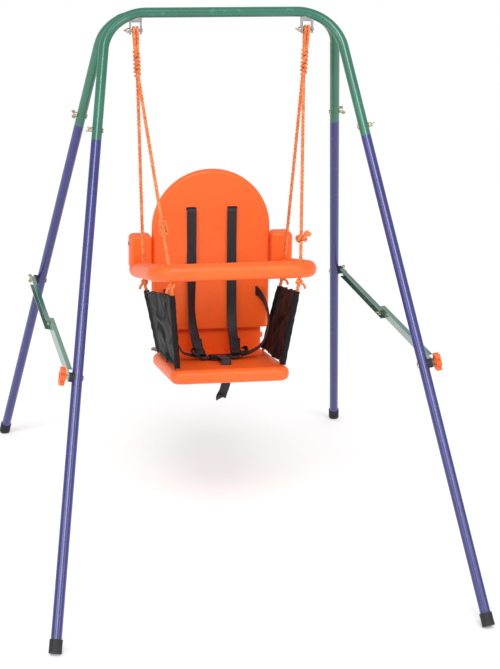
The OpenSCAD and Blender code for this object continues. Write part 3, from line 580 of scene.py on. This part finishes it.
def coil(top, low, radius, turns, start):
    """A helix that binds the line from top to low."""
    top, low = Vector(top), Vector(low)
    axis = (low - top).normalized()
    side = axis.orthogonal().normalized()
    back = axis.cross(side)
    count = 22 * turns
    line = []
    for i in range(count + 1):
        angle = start + 2 * math.pi * turns * i / count
        line.append(top.lerp(low, i / count) + radius * (math.cos(angle) * side + math.sin(angle) * back))
    return line


def overhand(middle, axis, size, stretch, spin):
    """An overhand knot drawn tight round a line: three lobes that go over and under."""
    axis = Vector(axis).normalized()
    side = (Matrix.Rotation(spin, 3, axis) @ axis.orthogonal()).normalized()
    back = axis.cross(side)
    line = []
    for i in range(73):
        t = 2 * math.pi * i / 72
        x = math.sin(t) + 2 * math.sin(2 * t)
        y = math.cos(t) - 2 * math.cos(2 * t)
        z = -math.sin(3 * t) * stretch
        line.append(Vector(middle) + size * (x * side + y * back + z * axis))
    return line


def ride_swing(piece, slot, *nodes):
    """Puts a piece on the swing in place of the nodes that it draws. The slot is not used."""
    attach(piece, "swing")
    if nodes:
        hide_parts(*nodes)


def lay_rope(name, tree, lines, values, *nodes):
    """Lays rope along lines and hangs it on the swing."""
    ride_swing(grow(name, tree, lines, values), "orange_rope", *nodes)


# ---------- operators ----------


class SWING_OT_coat_frame(bpy.types.Operator):
    """Powder-coats the tubes and the braces"""

    bl_idname = "swing.coat_frame"
    bl_label = "Coat the frame"

    def execute(self, context):
        finish = context.scene.swing_finish
        finish_nodes(GREEN_TUBES + REAR_BRACES, powder_coat("Green polyester powder coat", finish.green))
        finish_nodes(BLUE_TUBES, powder_coat("Blue polyester powder coat", finish.blue))
        # The lighter green on the front brace halves is a painted highlight on the same coat.
        finish_nodes(FRONT_BRACES, powder_coat("Green polyester powder coat painted lighter as highlight", finish.painted_highlight_green))
        return {"FINISHED"}


class SWING_OT_plate_fasteners(bpy.types.Operator):
    """Plates the bolts, wing nuts and hangers"""

    bl_idname = "swing.plate_fasteners"
    bl_label = "Plate the fasteners"

    def execute(self, context):
        finish = context.scene.swing_finish
        finish_nodes(YELLOW_ZINC, zinc_plate("Yellow passivated zinc plate", finish.yellow_zinc, 0.34))
        finish_nodes(WHITE_ZINC, zinc_plate("White zinc plate", finish.white_zinc, 0.3))
        return {"FINISHED"}


class SWING_OT_mould_plastics(bpy.types.Operator):
    """Finishes the orange seat parts and the black caps, spacers and buckle"""

    bl_idname = "swing.mould_plastics"
    bl_label = "Mould the plastics"

    def execute(self, context):
        finish = context.scene.swing_finish
        orange = blow_moulded("Orange blow-moulded polyethylene", finish.orange)
        finish_nodes(ORANGE_MOULDINGS, orange)
        rubber = moulded_black("Black moulded rubber", finish.black, 0.62, 500)
        finish_nodes(FOOT_CAPS + ["brace_spacers"], rubber)
        acetal = moulded_black("Black moulded acetal", finish.black, 0.38, 900)
        finish_nodes(BLACK_MOULDINGS, acetal)
        return {"FINISHED"}


class SWING_OT_lay_ropes(bpy.types.Operator):
    """Lays the rope eyes, whippings, strands and knots"""

    bl_idname = "swing.lay_ropes"
    bl_label = "Lay the ropes"

    def execute(self, context):
        rope = context.scene.swing_rope
        tree = laid_rope_tree()
        fibre = laid_polyethylene("Orange laid polyethylene rope", rope.colour)
        plain = {"Rope diameter": rope.diameter, "Lay length": rope.lay, "Material": fibre}
        for side, label in ((-1, "left"), (1, "right")):
            self.eye(side, label, tree, plain, rope)
            self.whipping(side, label, tree, plain, rope)
            self.strands(side, label, tree, plain)
            self.knots(side, label, tree, plain, rope)
        return {"FINISHED"}

    def eye(self, side, label, tree, plain, rope):
        """Two turns go round the hanger bolt, and their legs lie together down to the whipping."""
        middle = Vector((side * HANG_X, 0, HANG_Z))
        thin = rope.diameter * 0.86
        reach = 0.0034 + thin / 2
        lines = []
        for shift in (-1, 1):
            centre = middle + Vector((shift * thin * 0.54, 0, 0))
            low = Vector((shift * 0.0022 - side * 0.002, 0, -WHIP_TOP - 0.004))
            feet = [middle + low + Vector((0, m * thin / 2, 0)) for m in (-1, 1)]
            legs = [centre + Vector((-side * 0.001, m * (reach - 0.0015), -0.016)) for m in (-1, 1)]
            over = [
                centre + reach * Vector((0, -math.cos(a), math.sin(a))) for a in (math.pi * i / 6 for i in range(7))
            ]
            lines.append(smooth_line([feet[0], legs[0], *over, legs[1], feet[1]], 0.0015))
        lay_rope(f"rope_eye_{label}", tree, lines, {**plain, "Rope diameter": thin}, f"rope_loop_{label}")

    def whipping(self, side, label, tree, plain, rope):
        """Turns of thinner rope bind the two legs, over a core of the legs themselves."""
        top = Vector((side * (HANG_X - 0.002), 0.001, HANG_Z - WHIP_TOP))
        low = Vector((side * (HANG_X - 0.005), 0.0015, HANG_Z - WHIP_END))
        legs = [top.lerp(low, i / 12) for i in range(13)]
        core = {**plain, "Rope diameter": 0.0125, "Lay length": 0.05, "Strands": 2}
        lay_rope(f"whipping_core_{label}", tree, [legs], core, f"whipping_{label}")
        turns = coil(top.lerp(low, 0.05), top.lerp(low, 0.97), 0.0060, rope.turns, 0.6)
        wrap = {**plain, "Rope diameter": rope.wrap, "Lay length": 0.012, "Step": 0.0014}
        lay_rope(f"whipping_turns_{label}", tree, [turns], wrap)

    def strands(self, side, label, tree, plain):
        """The front and rear strand of one side, from the whipping to the tail under the pan."""
        for place, route in (("front", FRONT_ROUTE), ("rear", REAR_ROUTE)):
            top, bar, low, pan = mirrored(route, side)
            tail = on_line(low, pan, STRAND_TAIL)
            points = [on_line(bar, top, 1.0), on_line(bar, top, 0.5), on_line(bar, top, 0.06), bar]
            points += [low, on_line(low, pan, 0.12), on_line(low, pan, 0.6), tail]
            lay_rope(f"rope_{place}_{label}", tree, [smooth_line(points, 0.004)], plain, f"strand_{place}_{label}")

    def knots(self, side, label, tree, plain, rope):
        """Stopper knots above and below the guard bar and under the seat pan, each with its cut tail."""
        front, rear = mirrored(FRONT_ROUTE, side), mirrored(REAR_ROUTE, side)
        above = on_line(front[1], front[0], LEFT_KNOT if side < 0 else RIGHT_KNOT)
        up = front[0] - front[1]
        turns, tails = [], []
        if side < 0:
            turns.append(overhand(above + up.normalized() * 0.008, up, rope.knot * 1.15, 3.4, 0.4))
            turns.append(overhand(above - up.normalized() * 0.010, up, rope.knot, 3.2, 1.3))
            bend = ((0.003, 0, 0.012), (0.008, -0.004, 0.004), (0.0085, -0.005, -0.008))
            tails.append([above + Vector(d) for d in bend])
        else:
            turns.append(overhand(above, up, rope.knot * 1.9, 1.3, 0.9))
            turns.append(overhand(above + Vector((0.001, -0.003, 0.003)), up, rope.knot * 1.3, 1.6, 2.0))
            end = above + Vector((0.0120, -0.008, 0.0130))
            tails.append([above + Vector((0.003, -0.003, 0.001)), above + Vector((0.008, -0.006, 0.006)), end])
            turns.append(overhand(end, Vector((0.6, 0, 1)), rope.knot, 1.5, 0.2))
        for low, next_up, turn in ((front[2], front[1], 0.2), (rear[2], rear[1], 1.1)):
            rise = next_up - low
            turns.append(overhand(low, rise, rope.knot, 1.5, turn))
            bend = ((0.004, -0.004, -0.002), (0.010, -0.008, -0.007), (0.012, -0.009, -0.014))
            tails.append([low + Vector((side * x, y, z)) for x, y, z in bend])
        for run in (front, rear):
            end = on_line(run[2], run[3], PAN_KNOT)
            turns.append(overhand(end, run[2] - run[3], rope.knot, 1.5, 0.5))
        tight = {**plain, "Rope diameter": rope.diameter * 0.78, "Lay length": rope.lay * 0.7}
        lay_rope(f"rope_knots_{label}", tree, turns, tight, "rope_knots")
        lay_rope(f"rope_tails_{label}", tree, [smooth_line(t, 0.0015) for t in tails], tight)


class GuardCloth:
    """The surface of one side guard: sleeves round its two ropes and the cloth between them."""

    ROWS, COLUMNS, WRAP = 84, 64, 14
    # Where the cloth starts and ends, as shares of the rope between its knot and the pan.
    TOP, LOW_FRONT, LOW_REAR = 0.10, 0.94, 0.90
    # How far the cloth, and the outer and inner layer of its hems, lie out from the surface that place draws.
    LAYER, HEM_LAYERS = 0.0007, (0.0019, -0.0006)
    # How far a hem's middle stands over its layer. Its edges stand half as far.
    HEM_LIFT = 0.0004
    # The cloth's drop in metres, which makes a share of the hem width, and the steps across a hem.
    DROP, HEM_STEPS = 0.19, 4
    # How far a sleeve sweeps round its rope, in degrees.
    SWEEP = -264

    def __init__(self, side, settings):
        self.side, self.settings = side, settings
        self.front, self.rear = mirrored(FRONT_ROUTE, side), mirrored(REAR_ROUTE, side)
        self.seed = 3.1 if side < 0 else 8.7

    def place(self, u, v, layer=0.0):
        """A point of the cloth, u from the rear seam to the front one and v down the ropes."""
        hem = 0.022 * abs(math.sin(math.pi * (3.4 * u + 0.15))) * (0.7 + noise.noise(Vector((u * 5, self.seed, 0))))
        v = hem + (1 - 1.6 * hem) * v
        front = on_line(self.front[2], self.front[3], self.TOP + (self.LOW_FRONT - self.TOP) * v)
        rear = on_line(self.rear[2], self.rear[3], self.TOP + (self.LOW_REAR - self.TOP) * v)
        ahead = (front - rear).normalized()
        down = (self.front[3] - self.front[2]).normalized()
        out = ahead.cross(down).normalized()
        if out.x * self.side < 0:
            out.negate()
        seam = self.settings.sleeve + 0.0035
        a, b = rear + ahead * seam, front - ahead * seam
        free = max(0.0, math.sin(math.pi * min(1, max(0, u)))) ** 0.6
        bow = self.settings.belly * math.sin(math.pi * u) * math.sin(math.pi * (0.1 + 0.85 * v))
        span = (front - rear).length
        where = Vector((u * 3.4 + self.seed, v * 3.1 - u * 1.7, self.seed))
        fold = noise.noise(where) * 0.7 + noise.noise(where * 2.6) * 0.35
        wander = 1.6 * noise.noise(where * 0.8)
        ridge = (1 - abs(math.sin(5.2 * (0.55 * u + v) + self.seed + wander))) ** 3
        drag = (1 - abs(math.sin(4.1 * (u - 0.8 * v) + 2 * self.seed + wander))) ** 4
        depth = self.settings.crease * (fold + 0.75 * ridge - 0.55 * drag) * min(1.0, span / 0.12)
        point = a.lerp(b, u) + out * (bow * self.side * 0.3 + bow * 0.7 + depth) * free
        return point + out * layer, out, ahead, rear, front

    def section(self, v):
        """One line across the cloth, round both sleeves, with its length along the cloth."""
        reach = self.settings.sleeve + 0.003
        _, out, ahead, rear, _ = self.place(0, v)
        points = [rear + ahead * reach - out * self.LAYER, *self.sleeve(rear, ahead, out, v, -48)]
        for i in range(self.COLUMNS + 1):
            points.append(self.place(i / self.COLUMNS, v, self.LAYER)[0])
        _, out, ahead, _, front = self.place(1, v)
        return [*points, *self.sleeve(front, ahead, out, v, 132), front - ahead * reach - out * self.LAYER]

    def sleeve(self, middle, ahead, out, v, start):
        """The slack turn of cloth round one rope."""
        points = []
        for i in range(self.WRAP + 1):
            a = math.radians(start + self.SWEEP * i / self.WRAP)
            slack = 1 + 0.3 * math.sin(math.pi * i / self.WRAP) * noise.noise(Vector((v * 13, i * 0.25, self.seed)))
            points.append(middle + self.settings.sleeve * slack * (math.cos(a) * ahead + math.sin(a) * out))
        return points


class SWING_OT_sew_side_guards(bpy.types.Operator):
    """Sews the two cloth side guards, their sleeves, hems and seams"""

    bl_idname = "swing.sew_side_guards"
    bl_label = "Sew the side guards"

    def execute(self, context):
        guard = context.scene.swing_guard
        cloth = coated_nylon("Black coated Oxford nylon", guard.colour)
        thread = spun_thread("Charcoal spun polyester thread", linear("#232228"))
        seams = stitch_tree()
        stitches = {
            "Stitch pitch": guard.stitch,
            "Stitch length": guard.stitch * 0.7,
            "Thread diameter": guard.thread,
            "Material": thread,
        }
        for side, label in ((-1, "left"), (1, "right")):
            surface = GuardCloth(side, guard)
            rows = [surface.section(j / surface.ROWS) for j in range(surface.ROWS + 1)]
            hem = self.hems(f"side_guard_hem_{label}", surface, guard, cloth)
            sewing = grow(f"side_guard_stitches_{label}", seams, self.seam_lines(surface, guard), stitches)
            piece, area = self.grid(f"side_guard_cloth_{label}", rows, cloth, guard.cloth)
            ride_swing(piece, "black_fabric", f"side_guard_{label}")
            for extra in (hem, sewing):
                ride_swing(extra, "black_fabric")
        return {"FINISHED"}

    def grid(self, name, rows, material, thickness):
        """A sheet through rows of points, with its own lengths as UV and a thickness."""
        verts, uv, faces = [], [], []
        wide = len(rows[0])
        down = [0.0] * wide
        for j, row in enumerate(rows):
            run = 0.0
            for i, p in enumerate(row):
                run += (p - row[i - 1]).length if i else 0.0
                down[i] += (p - rows[j - 1][i]).length if j else 0.0
                verts.append(p)
                uv.append((run, down[wide // 2]))
        for j in range(len(rows) - 1):
            for i in range(wide - 1):
                k = j * wide + i
                faces.append((k, k + 1, k + wide + 1, k + wide))
        piece = mesh_piece(name, verts, faces, material, uv)
        area = sum(p.area for p in piece.data.polygons)
        solid = piece.modifiers.new("Thickness", "SOLIDIFY")
        solid.thickness, solid.offset = thickness, 0.0
        apply_modifiers(piece)
        return piece, area

    def hems(self, name, surface, guard, cloth):
        """Turned hems along the upper and lower edges: a second layer on each face."""
        share, steps = guard.hem / surface.DROP, surface.HEM_STEPS
        parts = []
        columns = [i / surface.COLUMNS for i in range(surface.COLUMNS + 1)]
        for v0, v1 in ((-0.002, share), (1 - share * 1.3, 1.002)):
            for layer in surface.HEM_LAYERS:
                rows = []
                for j in range(steps + 1):
                    lift = layer + surface.HEM_LIFT * (0.5 if j in (0, steps) else 1)
                    rows.append([surface.place(u, v0 + (v1 - v0) * j / steps, lift)[0] for u in columns])
                parts.append(self.grid(name, rows, cloth, guard.cloth * 0.8)[0])
        return joined(name, parts)

    def seam_lines(self, surface, guard):
        """Stitch lines beside each sleeve and along each hem, on both faces."""
        share = guard.hem / surface.DROP
        proud = guard.thread * 0.3
        outer, inner = surface.HEM_LAYERS
        steps = [i / 40 for i in range(41)]
        lines = []
        for layer in (surface.LAYER + guard.cloth / 2 + proud, surface.LAYER - guard.cloth / 2 - proud):
            for u in (0.0, 1.0):
                lines.append([surface.place(u, 0.01 + 0.98 * step, layer)[0] for step in steps])
        for layer in (outer + surface.HEM_LIFT + guard.cloth * 0.4 + proud, inner - guard.cloth * 0.4):
            for v in (share * 0.75, 1 - share):
                lines.append([surface.place(0.02 + 0.96 * step, v, layer)[0] for step in steps])
        return lines


def joined(name, parts):
    """Several meshes as one piece."""
    verts, faces, uv = [], [], []
    for part in parts:
        start = len(verts)
        data = part.data
        verts += [v.co.copy() for v in data.vertices]
        faces += [tuple(start + i for i in p.vertices) for p in data.polygons]
        place = [(0.0, 0.0)] * len(data.vertices)
        if data.uv_layers:
            for loop in data.loops:
                place[loop.vertex_index] = tuple(data.uv_layers[0].data[loop.index].uv)
        uv += place
    material = parts[0].data.materials[0]
    for part in parts:
        data = part.data
        bpy.data.objects.remove(part)
        bpy.data.meshes.remove(data)
    return mesh_piece(name, verts, faces, material, uv)


def webbing(name, points, across, size, *nodes):
    """Hangs on the swing a strap swept along points, its width along the matching directions."""
    width, thickness, material = size
    line = smooth_line(points, 0.003)
    marks = [0.0]
    for a, b in zip(points, points[1:]):
        marks.append(marks[-1] + (Vector(b) - Vector(a)).length)
    total = marks[-1]
    w, t, edge = width / 2, thickness / 2, thickness * 0.45
    ring = [(-w, -t * 0.4), (-w, t * 0.4), (-w + edge, t), (-w / 2, t), (0, t), (w / 2, t), (w - edge, t)]
    ring += [(-x, -y) for x, y in ring]
    verts, uv, faces = [], [], []
    run = 0.0
    for k, p in enumerate(line):
        if k:
            run += (p - line[k - 1]).length
        ahead = (line[min(k + 1, len(line) - 1)] - line[max(k - 1, 0)]).normalized()
        s = min(run, total)
        i = max(j for j in range(len(marks) - 1) if marks[j] <= s or j == 0)
        f = min(1.0, (s - marks[i]) / max(marks[i + 1] - marks[i], 1e-9))
        flat = Vector(across[i]).lerp(Vector(across[i + 1]), f)
        flat = (flat - ahead * flat.dot(ahead)).normalized()
        up = flat.cross(ahead)
        for x, y in ring:
            verts.append(p + flat * x + up * y)
            uv.append((x if y >= 0 else x + width, run))
    size = len(ring)
    for k in range(len(line) - 1):
        for i in range(size):
            j = (i + 1) % size
            faces.append((k * size + i, k * size + j, (k + 1) * size + j, (k + 1) * size + i))
    faces.append(tuple(range(size))[::-1])
    faces.append(tuple(range((len(line) - 1) * size, len(line) * size)))
    piece = mesh_piece(name, verts, faces, material, uv)
    facing_out(piece)
    ride_swing(piece, "webbing", *nodes)


def facing_out(piece):
    """Turns a closed mesh's faces outward."""
    shape = bmesh.new()
    shape.from_mesh(piece.data)
    bmesh.ops.recalc_face_normals(shape, faces=shape.faces)
    shape.to_mesh(piece.data)
    shape.free()


class SWING_OT_weave_harness(bpy.types.Operator):
    """Threads the shoulder, waist and crotch straps"""

    bl_idname = "swing.weave_harness"
    bl_label = "Thread the harness"

    def execute(self, context):
        web = context.scene.swing_webbing
        weave = woven_webbing("Black woven polypropylene webbing", web.colour)
        size = (web.width, web.thickness, weave)
        for side, label in ((-1, "left"), (1, "right")):
            self.shoulder(side, label, size)
            self.waist(side, label, size)
        self.crotch(size)
        return {"FINISHED"}

    def shoulder(self, side, label, size):
        """A strap from its keeper down to the adjuster, with its loose tail and its turned end."""
        x = side * 0.047
        route = [
            (x, 0.131, 0.7195), (x, 0.118, 0.7195), (x, 0.1065, 0.7193), (x, 0.1035, 0.7150),
            (x, 0.1028, 0.700), (x, 0.1018, 0.620), (x, 0.0985, 0.540), (x, 0.094, 0.482),
            (x * 0.985, 0.083, 0.450), (x * 0.96, 0.064, 0.430), (x * 0.93, 0.040, 0.4145),
            (x * 0.90, 0.018, 0.4025), (x * 0.895, 0.0069, 0.3985), (x * 0.893, -0.0010, 0.3978),
        ]
        # The webbing rolls a little on its way down.
        lean = (0.15, 0.5, -0.5, -0.8, -0.5, -0.2) if side < 0 else (0, -0.1, 0.2, 0.35, 0.2, 0)
        across = [(1, -turn, 0) for turn in (0, 0, 0, 0, *lean, 0, 0, 0, 0)]
        webbing(f"shoulder_webbing_{label}", route, across, size, f"shoulder_strap_{label}")
        end = x * 0.893
        tail = [
            (end, -0.0012, 0.4028), (end, 0.0065, 0.4046), (end + side * 0.001, 0.014, 0.4100),
            (end + side * 0.002, 0.022, 0.4190), (end + side * 0.003, 0.0275, 0.4300),
        ]
        webbing(f"shoulder_tail_{label}", tail, [(1, turn, 0) for turn in (0, 0, 0.1, 0.2, 0.25)], size)
        fold = [
            (end, 0.0125, 0.4105), (end, 0.0060, 0.4090), (end, -0.0030, 0.4085), (end, -0.0085, 0.4065),
            (end, -0.0095, 0.4025), (end, -0.0060, 0.3995),
        ]
        webbing(f"shoulder_fold_{label}", fold, [(1, 0.05 * side, 0)] * len(fold), size)

    def waist(self, side, label, size):
        """A strap from the backrest's side round to the buckle's tongue."""
        route = [
            (0.108, 0.131, 0.519), (0.108, 0.118, 0.519), (0.1085, 0.106, 0.519), (0.112, 0.098, 0.517),
            (0.121, 0.080, 0.503), (0.126, 0.056, 0.480), (0.1235, 0.036, 0.455), (0.116, 0.020, 0.436),
            (0.102, 0.006, 0.419), (0.082, -0.006, 0.4085), (0.062, -0.0145, 0.4035), (0.047, -0.0185, 0.4025),
        ]
        if side < 0:
            # The left strap hangs steeper, nearer the buckle.
            route[4:9] = [
                (0.113, 0.080, 0.506), (0.107, 0.050, 0.487), (0.1015, 0.028, 0.462), (0.097, 0.014, 0.440),
                (0.090, 0.004, 0.4215),
            ]
        flat = [
            (0, 0, 1), (0, 0, 1), (0, 0, 1), (0, -0.2, 1), (0, -0.55, 0.83), (0, -0.66, 0.75), (0.05, -0.72, 0.68),
            (0.12, -0.8, 0.55), (0.22, -0.88, 0.35), (0.3, -0.92, 0.15), (0.34, -0.94, 0), (0.34, -0.94, -0.05),
        ]
        webbing(f"waist_webbing_{label}", mirrored(route, side), mirrored(flat, side), size, f"waist_strap_{label}")
        # The sewn end turns back over the tongue in a short loose fold.
        fold = [
            (0.048, -0.0175, 0.4045), (0.056, -0.0150, 0.4068), (0.0615, -0.0120, 0.4105), (0.0600, -0.0070, 0.4140),
            (0.0530, -0.0045, 0.4135),
        ]
        across = [(0.34 * side, -0.94, 0.1 * k) for k in range(len(fold))]
        webbing(f"waist_fold_{label}", mirrored(fold, side), across, size)

    def crotch(self, size):
        """The strap from the pan's slot over its lip, with its end hanging down."""
        lip = -0.1131
        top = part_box("crotch_strap")[1][2]
        # Each point is its x, its distance behind the lip's face and its height over the strap's top.
        route = [
            (0, 0.0731, -0.001), (0, 0.0571, 0.0015), (0, 0.0391, 0.0045), (0, 0.020, 0.0085), (0, 0.0085, 0.0085),
            (0, 0.0050, 0.001), (0, 0.0035, -0.014), (0, 0.0025, -0.034), (-0.002, 0.005, -0.052),
            (-0.007, 0.006, -0.068), (-0.0125, 0.003, -0.0785), (-0.0140, -0.001, -0.0790),
            (-0.0130, -0.002, -0.0720),
        ]
        route = [(x, lip + y, top + z) for x, y, z in route]
        across = [(1, 0, 0)] * 8 + [(1, 0.12, 0.1), (1, 0.2, 0.3)] + [(1, 0.1, 0.45)] * 3
        webbing("crotch_webbing", route, across, size, "crotch_strap")


class SWING_OT_set_stage(bpy.types.Operator):
    """Sets the camera, the pale floor and the studio lights"""

    bl_idname = "swing.set_stage"
    bl_label = "Set the stage"

    def execute(self, context):
        stage = context.scene.swing_stage
        self.camera(context)
        floor = mesh_piece(
            "studio_floor",
            [(-FLOOR, -FLOOR, 0), (FLOOR, -FLOOR, 0), (FLOOR, FLOOR, 0), (-FLOOR, FLOOR, 0)],
            [(0, 1, 2, 3)],
            studio_floor("Matt white seamless paper", stage.floor, stage.glow),
        )
        self.key(stage.key)
        self.softbox("left_strip", (-3.0, -2.6, 2.2), (1.1, 3.0), stage.side)
        self.softbox("right_strip", (2.4, -3.4, 2.0), (0.8, 3.0), stage.side * 0.8)
        room = bpy.data.worlds.new("Room")
        room.use_nodes = True
        back = room.node_tree.nodes["Background"]
        back.inputs["Color"].default_value = (1, 1, 1, 1)
        back.inputs["Strength"].default_value = stage.room
        context.scene.world = room
        context.scene.view_settings.view_transform = "Standard"
        return {"FINISHED"}

    def camera(self, context):
        """A long lens from the front left, a little above the top bar and rolled a degree."""
        yaw, pitch, roll = (math.radians(a) for a in (10.835, 15.422, 0.858))
        ahead = Vector((math.sin(yaw) * math.cos(pitch), math.cos(yaw) * math.cos(pitch), -math.sin(pitch)))
        level = Vector((math.cos(yaw), -math.sin(yaw), 0))
        above = level.cross(ahead)
        right = math.cos(roll) * level + math.sin(roll) * above
        up = -math.sin(roll) * level + math.cos(roll) * above
        data = bpy.data.cameras.new("front_camera")
        data.sensor_width, data.lens = 36, 109.58
        data.clip_end = 200
        camera = placed("front_camera", data)
        turn = Matrix((right, up, -ahead)).transposed().to_4x4()
        camera.matrix_world = Matrix.Translation((-0.7735, -4.426, 1.687)) @ turn
        context.scene.camera = camera

    def key(self, strength):
        """A broad soft light high in front, so the shadow falls behind the seat."""
        data = bpy.data.lights.new("key_light", "SUN")
        data.energy, data.angle = strength, math.radians(24)
        light = placed("key_light", data)
        light.rotation_euler = Vector((0.08, 0.50, -0.55)).to_track_quat("-Z", "Y").to_euler()

    def softbox(self, name, place, size, power):
        """An oblong light that faces the middle of the set."""
        data = bpy.data.lights.new(name, "AREA")
        data.shape, data.size, data.size_y, data.energy = "RECTANGLE", size[0], size[1], power
        light = placed(name, data)
        light.location = place
        light.rotation_euler = (STRIP_TARGET - Vector(place)).to_track_quat("-Z", "Y").to_euler()


class SWING_PT_panel(bpy.types.Panel):
    """Sizes, colours and steps of the swing set"""

    bl_idname = "SWING_PT_panel"
    bl_label = "Swing set"
    bl_space_type = "VIEW_3D"
    bl_region_type = "UI"
    bl_category = "Swing set"

    def draw(self, context):
        for key, _ in GROUPS:
            group = getattr(context.scene, key)
            box = self.layout.box()
            for name in group.bl_rna.properties.keys():
                if name not in ("rna_type", "name"):
                    box.prop(group, name)
        for step in STEPS:
            self.layout.operator(step.bl_idname)


GROUPS = [
    ("swing_finish", SwingFinish),
    ("swing_rope", SwingRope),
    ("swing_guard", SwingGuard),
    ("swing_webbing", SwingWebbing),
    ("swing_stage", SwingStage),
]
STEPS = [
    SWING_OT_set_stage,
    SWING_OT_coat_frame,
    SWING_OT_plate_fasteners,
    SWING_OT_mould_plastics,
    SWING_OT_lay_ropes,
    SWING_OT_sew_side_guards,
    SWING_OT_weave_harness,
]


def register():
    for key, group in GROUPS:
        bpy.utils.register_class(group)
        setattr(bpy.types.Scene, key, bpy.props.PointerProperty(type=group))
    for step in STEPS:
        bpy.utils.register_class(step)
    bpy.utils.register_class(SWING_PT_panel)


def unregister():
    bpy.utils.unregister_class(SWING_PT_panel)
    for step in reversed(STEPS):
        bpy.utils.unregister_class(step)
    for key, group in reversed(GROUPS):
        delattr(bpy.types.Scene, key)
        bpy.utils.unregister_class(group)


def main():
    register()
    bpy.ops.swing.set_stage()
    bpy.ops.swing.coat_frame()
    bpy.ops.swing.plate_fasteners()
    bpy.ops.swing.mould_plastics()
    bpy.ops.swing.lay_ropes()
    bpy.ops.swing.sew_side_guards()
    bpy.ops.swing.weave_harness()


if __name__ == "__main__":
    main()
